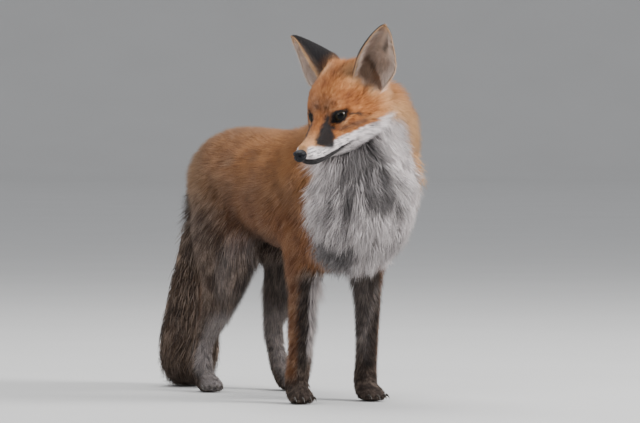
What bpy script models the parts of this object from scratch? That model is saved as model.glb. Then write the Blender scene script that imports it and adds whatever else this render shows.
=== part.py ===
"""A life-size red fox, standing on four paws with its tail hanging and its head turned to its right.

Metres, +Z up. The fox faces -Y and its left is +X. The flesh is lofted in rounded tubes, melted into one
skin out to the tips of the coat, and then parted with thin cuts into the parts a person would name.
"""

import math

import bmesh
import bpy
import numpy as np
from mathutils import Matrix, Vector

# ---------------------------------------------------------------- driving sizes
GAP = 0.0003  # between neighbouring parts
MELT = 0.0042  # cell of the remesh that joins the tubes
TRIANGLES = 3150  # of the melted flesh, before it is parted

EYES_AT = Vector((-0.064, -0.245, 0.380))  # midway between the two eyes
HEAD_TURN = 64.0  # degrees to the fox's right of its own forward direction
HEAD_PITCH = 20.0  # degrees nose down
HEAD_ROLL = 1.5  # degrees, crown towards the fox's right
EYE_APART = 0.0238  # from the middle of the face to the middle of an eyeball
EYE_BACK = 0.0030
EYE_RADIUS = 0.0098
HEAD_RINGS, HEAD_AROUND = 27, 24  # faces along and round the head

# ---------------------------------------------------------------- colours
RUST = (0.46, 0.17, 0.05)
CREAM = (0.72, 0.66, 0.58)
DUSK = (0.16, 0.11, 0.09)
BLACK = (0.02, 0.018, 0.018)
AMBER = (0.10, 0.05, 0.02)


def material(name, colour, roughness):
    made = bpy.data.materials.new(name)
    made.use_nodes = True
    shader = made.node_tree.nodes["Principled BSDF"]
    shader.inputs["Base Color"].default_value = (*colour, 1)
    shader.inputs["Roughness"].default_value = roughness
    shader.inputs["Metallic"].default_value = 0
    return made


# ---------------------------------------------------------------- shapes worked out with numpy
def curve_through(stations, steps):
    """A Catmull-Rom curve through the rows of stations, read at even steps."""
    rows = np.asarray(stations, float)
    ends = np.vstack([2 * rows[0] - rows[1], rows, 2 * rows[-1] - rows[-2]])
    place = np.linspace(0, len(rows) - 1, steps)
    first = np.minimum(place.astype(int), len(rows) - 2)
    t = (place - first)[:, None]
    a, b, c, d = (ends[first + k] for k in range(4))
    return 0.5 * (2 * b + (c - a) * t + (2 * a - 5 * b + 4 * c - d) * t**2 + (3 * b - a - 3 * c + d) * t**3)


def grid_mesh(name, rings):
    """A closed tube from rings of points, (number of rings, points round, 3), with a point at each end."""
    count, around, _ = rings.shape
    points = np.vstack([rings.reshape(-1, 3), rings[0].mean(0), rings[-1].mean(0)])
    faces = []
    for i in range(count - 1):
        for j in range(around):
            k = (j + 1) % around
            faces.append((i * around + j, i * around + k, (i + 1) * around + k, (i + 1) * around + j))
    first, last = count * around, count * around + 1
    for j in range(around):
        k = (j + 1) % around
        faces.append((first, k, j))
        faces.append((last, (count - 1) * around + j, (count - 1) * around + k))
    mesh = bpy.data.meshes.new(name)
    mesh.from_pydata(points.tolist(), [], faces)
    face_outwards(mesh)
    return mesh


def face_outwards(mesh):
    """Turns the faces outwards and splits them into triangles, so that a swollen copy bends along the same lines."""
    work = bmesh.new()
    work.from_mesh(mesh)
    bmesh.ops.recalc_face_normals(work, faces=work.faces)
    bmesh.ops.triangulate(work, faces=work.faces)
    work.to_mesh(mesh)
    work.free()


def tube(name, stations, side=(1, 0, 0), rings=36, around=24):
    """An ellipse carried along a smooth path. A station is x, y, z, half width along side, half depth."""
    rows = curve_through(stations, rings)
    path = rows[:, :3]
    along = np.gradient(path, axis=0)
    along /= np.linalg.norm(along, axis=1, keepdims=True)
    across = np.asarray(side, float) - along * (along @ np.asarray(side, float))[:, None]
    across /= np.linalg.norm(across, axis=1, keepdims=True)
    depth = np.cross(along, across)
    angle = np.linspace(0, math.tau, around, endpoint=False)
    ring = (
        path[:, None]
        + across[:, None] * (rows[:, 3:4] * np.cos(angle))[:, :, None]
        + depth[:, None] * (rows[:, 4:5] * np.sin(angle))[:, :, None]
    )
    return grid_mesh(name, ring)


def ball(name, centre, sizes, turn=0.0, segments=14, rings=8):
    """An ellipsoid with half sizes along X, Y and Z, turned about Z by degrees."""
    mesh = bpy.data.meshes.new(name)
    work = bmesh.new()
    place = Matrix.Translation(centre) @ Matrix.Rotation(math.radians(turn), 4, "Z")
    place = place @ Matrix.Diagonal((*sizes, 1))
    bmesh.ops.create_uvsphere(work, u_segments=segments, v_segments=rings, radius=1, matrix=place)
    work.to_mesh(mesh)
    work.free()
    return mesh


# ---------------------------------------------------------------- the head's own frame
def head_frame():
    """Columns are the head's forward, left and up directions; its origin is between the eyes."""
    turn, pitch = math.radians(HEAD_TURN), math.radians(HEAD_PITCH)
    forward = Vector((-math.sin(turn) * math.cos(pitch), -math.cos(turn) * math.cos(pitch), -math.sin(pitch)))
    left = Vector((math.cos(turn), -math.sin(turn), 0))
    left.rotate(Matrix.Rotation(math.radians(HEAD_ROLL), 3, forward))
    up = forward.cross(left)
    frame = Matrix((forward, left, up)).transposed().to_4x4()
    frame.translation = EYES_AT
    return frame


HEAD = head_frame()

# Forward place, crown, chin, height of the widest line and half width, in millimetres from the eyes.
HEAD_SECTIONS = [
    (76, -24, -33, -28, 5.0),
    (73, -20, -37, -28, 9.0),
    (65, -17, -42, -30, 12.5),
    (50, -13, -47, -32, 16.0),
    (32, -6, -50, -32, 20.0),
    (14, 8, -53, -28, 27.0),
    (-6, 32, -57, -21, 39.0),
    (-28, 51, -62, -15, 53.0),
    (-50, 59, -66, -10, 61.0),
    (-72, 56, -62, -6, 60.0),
    (-92, 36, -50, -4, 46.0),
    (-102, 18, -30, -4, 24.0),
]


def bump(where, centre, reach):
    """A smooth hill of height 1 at centre, with its own reach along each axis."""
    away = (where - np.asarray(centre, float)) / np.asarray(reach, float)
    return np.exp(-(away**2).sum(-1))


def head_rings(rings, around):
    """Half ellipses above and below the widest line, carried from the nose to the nape, then modelled."""
    rows = curve_through(HEAD_SECTIONS, rings)
    angle = np.linspace(0, math.tau, around, endpoint=False)
    rise = np.where(
        np.sin(angle) > 0,
        (rows[:, 1:2] - rows[:, 3:4]) * np.sin(angle),
        (rows[:, 3:4] - rows[:, 2:3]) * np.sin(angle),
    )
    spread = rows[:, 4:5] * np.sign(np.cos(angle)) * np.abs(np.cos(angle)) ** 0.9
    local = np.stack([np.repeat(rows[:, 0:1], around, 1), spread, rows[:, 3:4] + rise], -1)
    centre = np.stack([rows[:, 0], np.zeros(rings), rows[:, 3]], -1)[:, None]
    outward = local - centre
    outward /= np.linalg.norm(outward, axis=-1, keepdims=True)
    for side in (-1, 1):
        local = local - outward * (7.0 * bump(local, (3, 27 * side, -1), (13, 12, 11)))[..., None]
        local = local + outward * (3.0 * bump(local, (-6, 22 * side, 16), (14, 12, 9)))[..., None]
        local = local + outward * (2.5 * bump(local, (52, 15 * side, -36), (16, 10, 9)))[..., None]
        local = local + outward * (6.0 * bump(local, (-52, 60 * side, -26), (26, 26, 20)))[..., None]
    return to_world(local / 1000)


def to_world(local):
    """From the head's forward, left and up to the fox's x, y and z."""
    turn = np.array(HEAD.to_3x3())
    return local @ turn.T + np.array(HEAD.translation)


def on_head(forward, left, up):
    """A place on the head, in millimetres from between the eyes."""
    return HEAD @ (Vector((forward, left, up)) / 1000)


# ---------------------------------------------------------------- trunk, neck and tail
# Each station is x, y, z, half width and half depth of the coat's outline.
TRUNK = [
    (0, -0.212, 0.268, 0.026, 0.034),
    (0, -0.192, 0.270, 0.056, 0.066),
    (0, -0.150, 0.274, 0.073, 0.084),
    (0, -0.090, 0.277, 0.078, 0.090),
    (0, -0.020, 0.280, 0.078, 0.084),
    (0, 0.050, 0.288, 0.075, 0.076),
    (0, 0.110, 0.293, 0.073, 0.074),
    (0, 0.160, 0.289, 0.071, 0.076),
    (0, 0.200, 0.279, 0.065, 0.070),
    (0, 0.227, 0.272, 0.045, 0.051),
    (0, 0.240, 0.268, 0.020, 0.026),
]
NECK = [
    (0.000, -0.080, 0.288, 0.066, 0.066),
    (0.000, -0.135, 0.300, 0.080, 0.078),
    (0.011, -0.176, 0.320, 0.086, 0.078),
    (0.011, -0.203, 0.352, 0.084, 0.074),
    (0.002, -0.222, 0.386, 0.073, 0.066),
    (-0.008, -0.232, 0.412, 0.055, 0.052),
    (-0.014, -0.236, 0.428, 0.032, 0.032),
]
CHEST = [
    (0.010, -0.186, 0.348, 0.060, 0.050),
    (0.012, -0.190, 0.328, 0.084, 0.070),
    (0.013, -0.190, 0.290, 0.086, 0.078),
    (0.010, -0.185, 0.245, 0.080, 0.073),
    (0.006, -0.175, 0.212, 0.069, 0.060),
    (0.004, -0.165, 0.190, 0.053, 0.045),
    (0.003, -0.160, 0.176, 0.020, 0.020),
]
TAIL = [
    (0.000, 0.190, 0.318, 0.020, 0.022),
    (-0.002, 0.214, 0.308, 0.027, 0.028),
    (-0.008, 0.240, 0.278, 0.031, 0.031),
    (-0.012, 0.253, 0.235, 0.033, 0.034),
    (-0.014, 0.262, 0.190, 0.036, 0.039),
    (-0.017, 0.271, 0.140, 0.042, 0.044),
    (-0.019, 0.278, 0.095, 0.048, 0.054),
    (-0.021, 0.279, 0.055, 0.049, 0.056),
    (-0.022, 0.275, 0.026, 0.040, 0.046),
    (-0.022, 0.273, 0.011, 0.022, 0.026),
    (-0.022, 0.273, 0.006, 0.006, 0.008),
]
TAIL_TIP_FROM = 0.070  # height where the dark tip of the brush starts

# ---------------------------------------------------------------- legs, from the body down to the paw
LEGS = {
    "front_right": [
        (-0.034, -0.115, 0.285, 0.036, 0.054),
        (-0.038, -0.130, 0.232, 0.036, 0.048),
        (-0.038, -0.126, 0.188, 0.0280, 0.036),
        (-0.040, -0.126, 0.140, 0.0220, 0.0245),
        (-0.045, -0.134, 0.090, 0.0190, 0.0205),
        (-0.050, -0.138, 0.058, 0.0180, 0.0195),
        (-0.056, -0.140, 0.030, 0.0165, 0.0185),
        (-0.059, -0.141, 0.014, 0.0150, 0.0170),
    ],
    "front_left": [
        (0.040, -0.108, 0.285, 0.036, 0.054),
        (0.050, -0.122, 0.232, 0.036, 0.048),
        (0.058, -0.116, 0.188, 0.0280, 0.036),
        (0.060, -0.116, 0.140, 0.0220, 0.0245),
        (0.058, -0.120, 0.090, 0.0190, 0.0205),
        (0.056, -0.122, 0.058, 0.0180, 0.0195),
        (0.053, -0.124, 0.030, 0.0165, 0.0185),
        (0.051, -0.126, 0.014, 0.0150, 0.0170),
    ],
    "hind_right": [
        (-0.034, 0.145, 0.282, 0.036, 0.066),
        (-0.041, 0.122, 0.236, 0.043, 0.074),
        (-0.045, 0.102, 0.192, 0.044, 0.066),
        (-0.048, 0.112, 0.146, 0.0310, 0.047),
        (-0.049, 0.138, 0.106, 0.0200, 0.034),
        (-0.051, 0.162, 0.070, 0.0160, 0.0185),
        (-0.054, 0.162, 0.034, 0.0160, 0.0175),
        (-0.055, 0.154, 0.014, 0.0150, 0.0165),
    ],
    "hind_left": [
        (0.036, 0.140, 0.282, 0.036, 0.066),
        (0.043, 0.114, 0.236, 0.043, 0.074),
        (0.048, 0.094, 0.192, 0.044, 0.066),
        (0.050, 0.120, 0.146, 0.0310, 0.046),
        (0.051, 0.158, 0.108, 0.0185, 0.029),
        (0.053, 0.158, 0.070, 0.0160, 0.0190),
        (0.057, 0.146, 0.034, 0.0160, 0.0175),
        (0.058, 0.133, 0.014, 0.0150, 0.0165),
    ],
}
PAW_TURN = {"front_right": -8, "front_left": 5, "hind_right": -6, "hind_left": 8}  # toes outwards
PAW_AHEAD = 0.012  # middle of the paw ahead of the ankle
PAW_HALF = (0.0185, 0.0250, 0.0150)
TOE_HALF = (0.0066, 0.0115, 0.0088)
TOES = ((-0.0138, -0.013), (-0.0050, -0.0205), (0.0050, -0.0205), (0.0138, -0.013))
ELBOW_CUT, HOCK_CUT, PAW_CUT = 0.160, 0.122, 0.040
PAW_THINNING = 0.92  # against 1 for the rest of the flesh


def paw_centre(leg):
    x, y = LEGS[leg][-1][:2]
    return Vector((x, y - PAW_AHEAD, 0.0125))


def paw_meshes(leg):
    """The pad and instep, with four toes spread ahead of it, a little below the floor before the sole is cut."""
    centre, turn = paw_centre(leg), PAW_TURN[leg]
    spin = Matrix.Rotation(math.radians(turn), 3, "Z")
    yield ball(leg + "_pad", centre, PAW_HALF, turn)
    for across, ahead in TOES:
        at = centre + spin @ Vector((across, ahead, -0.0045))
        yield ball(leg + "_toe", at, TOE_HALF, turn, 14, 10)


# ---------------------------------------------------------------- ears, eyes and nose pad
# Places up the left ear, in millimetres on the head: along its inner edge, its outer edge and its back ridge.
EAR_INNER = [(-36, 24, 30), (-39, 33, 48), (-41, 42, 64), (-46, 52, 78), (-53, 63, 90), (-59, 74, 99)]
EAR_OUTER = [(-46, 52, 6), (-60, 65, 20), (-67, 76, 36), (-69, 80, 54), (-68, 82, 72), (-66, 84, 89)]
EAR_RIDGE = [(-72, 14, 36), (-84, 28, 52), (-83, 40, 63), (-79, 51, 74), (-73, 63, 86), (-67, 75, 97)]
EAR_TIP = {1: (-62, 82, 103), -1: (-62, 78, 92)}  # the left ear is pricked a little higher
EAR_STEPS = 45  # steps up each line, of which the last two are left off, so that the tip stays blunt
EAR_THICK = 0.0044


def ear_mesh(name, side, every=4, around=11):
    """A cup open in front: half ellipses from the inner edge round the ridge to the outer edge."""
    lean = np.array(EAR_TIP[side]) - np.array(EAR_TIP[1])
    rise = np.linspace(0, 1, EAR_STEPS)[:, None]
    lines = (EAR_INNER, EAR_OUTER, EAR_RIDGE)
    lines = [np.array(curve_through([*line, EAR_TIP[1]], EAR_STEPS)) + lean * rise**1.3 for line in lines]
    inner, outer, ridge = (line[: EAR_STEPS - 2 : every] for line in lines)
    middle = (inner + outer) / 2
    turn = np.linspace(-math.pi / 2, math.pi / 2, around)[None, :, None]
    sheet = middle[:, None] + ((outer - inner) / 2)[:, None] * np.sin(turn)
    sheet = sheet + (ridge - middle)[:, None] * np.cos(turn)
    mesh = bpy.data.meshes.new(name)
    points = [tuple(on_head(forward, left * side, up)) for forward, left, up in sheet.reshape(-1, 3)]
    faces = []
    for i in range(len(inner) - 1):
        for j in range(around - 1):
            a = i * around + j
            faces.append((a, a + 1, a + around + 1, a + around))
    mesh.from_pydata(points, [], faces)
    return mesh


def eye_centre(side):
    return on_head(-EYE_BACK * 1000, EYE_APART * 1000 * side, 0)


def nose_mesh(name, grow=0.0):
    """The leather pad: a ball flattened below and squared in front."""
    mesh = bpy.data.meshes.new(name)
    work = bmesh.new()
    bmesh.ops.create_uvsphere(work, u_segments=14, v_segments=8, radius=1)
    for vert in work.verts:
        x, y, z = vert.co
        wide = 9.6 + 1.2 * z
        local = Vector((66.5 + 9.5 * x, wide * y, -27.5 + 7.8 * z))
        middle = Vector((66.5, 0, -27.5))
        local = local + (local - middle).normalized() * grow * 1000
        vert.co = on_head(*local)
    bmesh.ops.recalc_face_normals(work, faces=work.faces)
    work.to_mesh(mesh)
    work.free()
    return mesh


# ---------------------------------------------------------------- melting the flesh into one skin
def new_object(name, mesh, finish):
    made = bpy.data.objects.new(name, mesh)
    bpy.context.scene.collection.objects.link(made)
    mesh.materials.clear()
    mesh.materials.append(finish)
    return made


def evaluated_copy(obj, name):
    """The object's mesh with its modifiers applied, and the object removed."""
    bpy.context.view_layer.update()
    graph = bpy.context.evaluated_depsgraph_get()
    mesh = bpy.data.meshes.new_from_object(obj.evaluated_get(graph))
    mesh.name = name
    bpy.data.objects.remove(obj)
    return mesh


def joined(name, meshes):
    work = bmesh.new()
    for mesh in meshes:
        work.from_mesh(mesh)
    mesh = bpy.data.meshes.new(name)
    work.to_mesh(mesh)
    work.free()
    return mesh


def keep_paws(obj):
    """Vertex weights that spare the toes when the melted flesh is thinned out."""
    group = obj.vertex_groups.new(name="thin_out")
    for vert in obj.data.vertices:
        group.add([vert.index], 1.0 if vert.co.z > PAW_CUT else PAW_THINNING, "REPLACE")
    return group


def melted_flesh(finish):
    meshes = [
        tube("trunk", TRUNK, rings=44, around=36),
        tube("neck", NECK, rings=36, around=36),
        tube("chest", CHEST, rings=30, around=32),
    ]
    for leg, stations in LEGS.items():
        meshes.append(tube(leg, stations))
        meshes += list(paw_meshes(leg))
    flesh = new_object("flesh", joined("flesh", meshes), finish)
    remesh = flesh.modifiers.new("melt", "REMESH")
    remesh.mode = "VOXEL"
    remesh.voxel_size = MELT
    soften = flesh.modifiers.new("soften", "SMOOTH")
    soften.factor = 0.5
    soften.iterations = 4
    flesh = new_object("flesh_melted", evaluated_copy(flesh, "flesh_melted"), finish)
    thin = flesh.modifiers.new("thin", "DECIMATE")
    thin.vertex_group = keep_paws(flesh).name
    thin.vertex_group_factor = 1.0
    thin.ratio = TRIANGLES / (2 * len(flesh.data.polygons))
    thin.use_collapse_triangulate = True
    return new_object("flesh_whole", evaluated_copy(flesh, "flesh_whole"), finish)


# ---------------------------------------------------------------- parting it with thin cuts
def cell_mesh(name, planes, grow=0.0):
    """A big cube trimmed by planes, each a point and a normal that points out of the cell."""
    work = bmesh.new()
    bmesh.ops.create_cube(work, size=2.0)
    for point, normal in planes:
        normal = Vector(normal).normalized()
        everything = work.verts[:] + work.edges[:] + work.faces[:]
        cut = bmesh.ops.bisect_plane(
            work,
            geom=everything,
            plane_co=Vector(point) + normal * grow,
            plane_no=normal,
            clear_outer=True,
        )
        edges = [item for item in cut["geom_cut"] if isinstance(item, bmesh.types.BMEdge)]
        bmesh.ops.contextual_create(work, geom=edges)
    bmesh.ops.recalc_face_normals(work, faces=work.faces)
    mesh = bpy.data.meshes.new(name)
    work.to_mesh(mesh)
    work.free()
    return mesh


def helper(name, mesh):
    """A cutter: it isn't part of the fox."""
    made = bpy.data.objects.new(name, mesh)
    bpy.context.scene.collection.objects.link(made)
    made.hide_render = True
    made.display_type = "WIRE"
    return made


def carve(obj, operation, cutter):
    change = obj.modifiers.new(operation.lower(), "BOOLEAN")
    change.operation = operation
    change.solver = "EXACT"
    change.object = cutter


def cut_mesh(mesh, cuts, name, finish):
    """A copy of mesh after a list of (operation, cutter mesh) Booleans."""
    obj = new_object("being_cut", mesh.copy(), finish)
    cutters = []
    for number, (operation, cutter) in enumerate(cuts):
        cutters.append(helper(f"cutter_{number}", cutter))
        carve(obj, operation, cutters[-1])
    made = evaluated_copy(obj, name)
    for cutter in cutters:
        bpy.data.objects.remove(cutter)
    face_outwards(made)
    return made


# A plane is a point and the normal that points out of the cell it bounds.
NECK_CELL = [((0, -0.162, 0.330), (0, 0.6, -0.8))]
FRONT_REACH = (-0.194, -0.055)
HIND_REACH = (0.020, 0.2085)


def leg_cell(leg):
    """The cell of a whole leg: below a plane that leans in from its flank to the midline."""
    side = -1 if leg.endswith("right") else 1
    front = leg.startswith("front")
    near, far = FRONT_REACH if front else HIND_REACH
    return [
        ((side * 0.030, 0, 0.222 if front else 0.226), (-side * 0.72, 0, 0.70)),
        ((side * 0.0040, 0, 0), (-side, 0, 0)),
        ((0, near, 0), (0, -1, 0)),
        ((0, far, 0), (0, 1, 0)),
    ]


def below(height):
    return ((0, 0, height), (0, 0, 1))


def above(height):
    return ((0, 0, height), (0, 0, -1))


def largest_piece(mesh):
    """Drops slivers that a cut left apart from the main body."""
    work = bmesh.new()
    work.from_mesh(mesh)
    left = set(work.verts)
    groups = []
    while left:
        group, edge = set(), [left.pop()]
        while edge:
            vert = edge.pop()
            group.add(vert)
            for link in vert.link_edges:
                other = link.other_vert(vert)
                if other in left:
                    left.discard(other)
                    edge.append(other)
        groups.append(group)
    groups.sort(key=len)
    for group in groups[:-1]:
        bmesh.ops.delete(work, geom=list(group), context="VERTS")
    work.to_mesh(mesh)
    work.free()
    return mesh


def swollen(mesh, amount):
    """The mesh with every point moved out along its normal."""
    copy = mesh.copy()
    points = np.empty(len(copy.vertices) * 3)
    normals = np.empty(len(copy.vertices) * 3)
    copy.vertices.foreach_get("co", points)
    copy.vertex_normals.foreach_get("vector", normals)
    copy.vertices.foreach_set("co", points + normals * amount)
    return copy


def rest_on_origin(objects):
    """Moves every part so that the box round the fox stands with the middle of its bottom at the origin."""
    points = np.array([vert.co[:] for obj in objects for vert in obj.data.vertices])
    low, high = points.min(0), points.max(0)
    shift = Vector((-(low[0] + high[0]) / 2, -(low[1] + high[1]) / 2, 0))
    for obj in objects:
        obj.data.transform(Matrix.Translation(shift))


def leg_parts(whole, leg, upper, lower, coats):
    """The upper leg, lower leg and paw of one leg, cut at the elbow or hock and above the paw."""
    bend = ELBOW_CUT if leg.startswith("front") else HOCK_CUT
    sole = above(-GAP / 2)
    spans = (
        (f"{upper}_{leg}", [above(bend)], coats[0]),
        (f"{lower}_{leg}", [below(bend), above(PAW_CUT)], coats[1]),
        (f"paw_{leg}", [below(PAW_CUT), sole], coats[2]),
    )
    for name, ends, coat in spans:
        cell = cell_mesh(name, leg_cell(leg) + ends, -GAP / 2)
        yield new_object(name, largest_piece(cut_mesh(whole, [("INTERSECT", cell)], name, coat)), coat)


def ear_part(name, side, flesh, coat):
    sheet = new_object(name + "_sheet", ear_mesh(name, side), coat)
    wall = sheet.modifiers.new("wall", "SOLIDIFY")
    wall.thickness = EAR_THICK
    wall.offset = 0
    wall.use_even_offset = True
    solid = evaluated_copy(sheet, name)
    face_outwards(solid)
    return new_object(name, largest_piece(cut_mesh(solid, [("DIFFERENCE", flesh)], name, coat)), coat)


def main():
    for obj in list(bpy.data.objects):
        bpy.data.objects.remove(obj)
    rust = material("rust_coat", RUST, 0.85)
    cream = material("cream_coat", CREAM, 0.85)
    dusk = material("dusky_coat", DUSK, 0.85)
    black = material("black_coat", BLACK, 0.8)
    leather = material("nose_leather", BLACK, 0.35)
    eye = material("eye", AMBER, 0.1)

    half = GAP / 2
    parts = []

    head = grid_mesh("head_whole", head_rings(HEAD_RINGS, HEAD_AROUND))
    sockets = [("DIFFERENCE", nose_mesh("nose_socket", GAP))]
    for side, word in ((-1, "right"), (1, "left")):
        parts.append(new_object("eye_" + word, ball("eye_" + word, eye_centre(side), (EYE_RADIUS,) * 3), eye))
        parts.append(ear_part("ear_" + word, side, swollen(head, GAP), black))
        sockets.append(("DIFFERENCE", ball("socket", eye_centre(side), (EYE_RADIUS + GAP,) * 3)))
    parts.append(new_object("nose", nose_mesh("nose"), leather))
    parts.append(new_object("head", largest_piece(cut_mesh(head, sockets, "head", rust)), rust))

    melted = melted_flesh(rust)
    ear_rooms = [("DIFFERENCE", swollen(part.data, GAP)) for part in parts if part.name.startswith("ear_")]
    flesh = cut_mesh(melted.data, [("DIFFERENCE", swollen(head, GAP))] + ear_rooms, "flesh", rust)
    bpy.data.objects.remove(melted)

    tail = tube("tail_whole", TAIL, rings=18, around=16)
    no_trunk = ("DIFFERENCE", swollen(flesh, GAP))
    for name, end, coat in (("tail", above(TAIL_TIP_FROM), dusk), ("tail_tip", below(TAIL_TIP_FROM), black)):
        cuts = [("INTERSECT", cell_mesh(name, [end], -half)), no_trunk]
        parts.append(new_object(name, largest_piece(cut_mesh(tail, cuts, name, coat)), coat))

    neck_cuts = [("INTERSECT", cell_mesh("neck_cell", NECK_CELL, -half))]
    parts.append(new_object("neck", largest_piece(cut_mesh(flesh, neck_cuts, "neck", cream)), cream))
    for leg in LEGS:
        names = ("shoulder", "forearm") if leg.startswith("front") else ("thigh", "hock")
        parts += leg_parts(flesh, leg, *names, (rust, dusk, black))
    trunk_cuts = [("DIFFERENCE", cell_mesh("neck_room", NECK_CELL, half))]
    trunk_cuts += [("DIFFERENCE", cell_mesh("leg_room", leg_cell(leg), half)) for leg in LEGS]
    parts.append(new_object("trunk", largest_piece(cut_mesh(flesh, trunk_cuts, "trunk", rust)), rust))

    for part in parts:
        part.data.shade_smooth()
        part.data.set_sharp_from_angle(angle=math.radians(50))
    rest_on_origin(parts)


main()
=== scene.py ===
import math

import bmesh
import bpy
import numpy as np
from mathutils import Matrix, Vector


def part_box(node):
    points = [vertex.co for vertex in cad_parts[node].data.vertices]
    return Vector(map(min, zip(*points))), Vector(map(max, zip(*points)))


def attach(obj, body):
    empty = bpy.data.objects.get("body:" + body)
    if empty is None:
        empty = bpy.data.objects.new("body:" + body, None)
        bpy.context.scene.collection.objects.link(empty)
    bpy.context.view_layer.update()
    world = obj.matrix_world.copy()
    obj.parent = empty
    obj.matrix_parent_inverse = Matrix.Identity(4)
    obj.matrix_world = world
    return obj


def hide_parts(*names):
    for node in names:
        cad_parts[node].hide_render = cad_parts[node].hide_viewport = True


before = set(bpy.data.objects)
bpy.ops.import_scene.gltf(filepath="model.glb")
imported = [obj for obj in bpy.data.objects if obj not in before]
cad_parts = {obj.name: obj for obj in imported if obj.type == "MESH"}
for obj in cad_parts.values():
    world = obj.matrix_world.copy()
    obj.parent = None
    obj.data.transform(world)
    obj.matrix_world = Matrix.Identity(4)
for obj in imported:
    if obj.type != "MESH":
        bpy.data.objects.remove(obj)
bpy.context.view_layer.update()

# ------------------------------------------------------------------ the viewpoint
# A long lens at the height of the fox's back, ahead of its right shoulder and almost level. The aim is a
# place inside the chest, in metres in the frame of the solids.
AIM = Vector((-0.0236, -0.1813, 0.2541))
VIEW_TURN, VIEW_DROP = math.radians(-25.98), math.radians(1.44)
VIEW_FAR = 7.0
level = math.cos(VIEW_DROP)
view = Vector((-math.sin(VIEW_TURN) * level, math.cos(VIEW_TURN) * level, -math.sin(VIEW_DROP)))
camera_data = bpy.data.cameras.new("camera")
camera_data.lens = 298.3
camera_data.sensor_width = 36.0
camera_data.clip_end = 60.0
camera = bpy.data.objects.new("camera", camera_data)
camera.location = AIM - view * VIEW_FAR
camera.rotation_euler = view.to_track_quat("-Z", "Y").to_euler()
bpy.context.scene.collection.objects.link(camera)
bpy.context.scene.camera = camera


# ------------------------------------------------------------------ the hide of the body
# Under the coat lies one hide over neck, trunk, legs and tail. It follows the outline of the solids, sunk by
# the depth of the coat there: a few millimetres on the paws, two or three centimetres on the ruff and brush.
def unit(rows):
    """Each row divided by its length."""
    return rows / np.maximum(np.linalg.norm(rows, axis=-1, keepdims=True), 1e-12)


def smoothstep(low, high, x):
    """0 below low, 1 above high, and 3t² - 2t³ between them; it falls where low is the larger."""
    t = np.clip((x - low) / (high - low), 0, 1)
    return t * t * (3 - 2 * t)


def middle(node):
    """The middle of a node's box."""
    low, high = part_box(node)
    return np.array((low + high) / 2)


def slice_middle(node, share, half=0.006):
    """The mean of a node's corners within half of the height that lies share of the way up its box."""
    low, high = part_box(node)
    height = low.z + (high.z - low.z) * share
    rows = np.empty(len(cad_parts[node].data.vertices) * 3, np.float32)
    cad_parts[node].data.vertices.foreach_get("co", rows)
    rows = rows.reshape(-1, 3)
    return rows[np.abs(rows[:, 2] - height) < half].mean(0)


def mesh_arrays(mesh):
    """The corners and the triangles of a mesh."""
    mesh.calc_loop_triangles()
    points = np.empty(len(mesh.vertices) * 3)
    triangles = np.empty(len(mesh.loop_triangles) * 3, np.int32)
    mesh.vertices.foreach_get("co", points)
    mesh.loop_triangles.foreach_get("vertices", triangles)
    return points.reshape(-1, 3), triangles.reshape(-1, 3)


def corner_normals(points, triangles):
    """The unit sum of the cross products of the triangles round each corner."""
    a, b, c = (points[triangles[:, k]] for k in range(3))
    cross = np.cross(b - a, c - a)
    total = np.zeros_like(points)
    for axis in range(3):
        for k in range(3):
            total[:, axis] += np.bincount(triangles[:, k], cross[:, axis], len(points))
    return unit(total)


def evened(values, edges, rounds, pull=0.6):
    """Each value drawn towards the mean of its neighbours along the edges, again and again."""
    many = np.bincount(edges.ravel(), minlength=len(values))[:, None]
    for _ in range(rounds):
        total = np.stack(
            [
                np.bincount(edges[:, 0], column[edges[:, 1]], len(values))
                + np.bincount(edges[:, 1], column[edges[:, 0]], len(values))
                for column in values.T
            ],
            1,
        )
        values = values + (total / many - values) * pull
    return values


def edges_of(triangles):
    """Every edge of the triangles once, as pairs of corners."""
    pairs = np.sort(triangles[:, [0, 1, 1, 2, 2, 0]].reshape(-1, 2), 1)
    return np.unique(pairs, axis=0)


eye_middle = (middle("eye_left") + middle("eye_right")) / 2
NOSE_AHEAD, NOSE_BELOW, EYES_BACK = 0.0665, 0.0275, 0.0030
head_left = unit(middle("eye_left") - middle("eye_right"))
to_nose = middle("nose") - eye_middle
to_nose = unit(to_nose - head_left * (to_nose @ head_left))
nose_angle = math.atan2(NOSE_BELOW, NOSE_AHEAD + EYES_BACK)
across_nose = np.cross(to_nose, head_left)
head_forward = to_nose * math.cos(nose_angle) + across_nose * math.sin(nose_angle)
head_up = np.cross(head_forward, head_left)
HEAD_TURN = np.stack([head_forward, head_left, head_up])
HEAD_AT = eye_middle + head_forward * EYES_BACK


def on_head(local):
    """From millimetres ahead of, left of and above the point between the eyes to the fox's own metres."""
    return np.asarray(local, float) / 1000 @ HEAD_TURN + HEAD_AT


def from_head(points):
    """From metres back to millimetres ahead, left and up on the head."""
    return (points - HEAD_AT) @ HEAD_TURN.T * 1000


EAR_CUP = (-57, 43, 39)  # the middle of the left ear's foot
# Forward place, crown, chin, height of the widest line and half width, in millimetres from between the eyes.
HEAD_SECTIONS = [
    (76, -24, -33, -28, 5.0),
    (73, -20, -37, -28, 9.0),
    (65, -17, -42, -30, 12.5),
    (50, -13, -47, -32, 16.0),
    (32, -6, -50, -32, 20.0),
    (14, 8, -53, -28, 27.0),
    (-6, 32, -57, -21, 39.0),
    (-28, 51, -62, -15, 53.0),
    (-50, 59, -66, -10, 61.0),
    (-72, 56, -62, -6, 60.0),
    (-92, 36, -50, -4, 46.0),
    (-102, 18, -30, -4, 24.0),
]


def spot(where, centre, reach):
    """A smooth hill of height 1 at centre, with its own reach along each axis."""
    return np.exp(-(((where - np.asarray(centre, float)) / np.asarray(reach, float)) ** 2).sum(-1))


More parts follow.
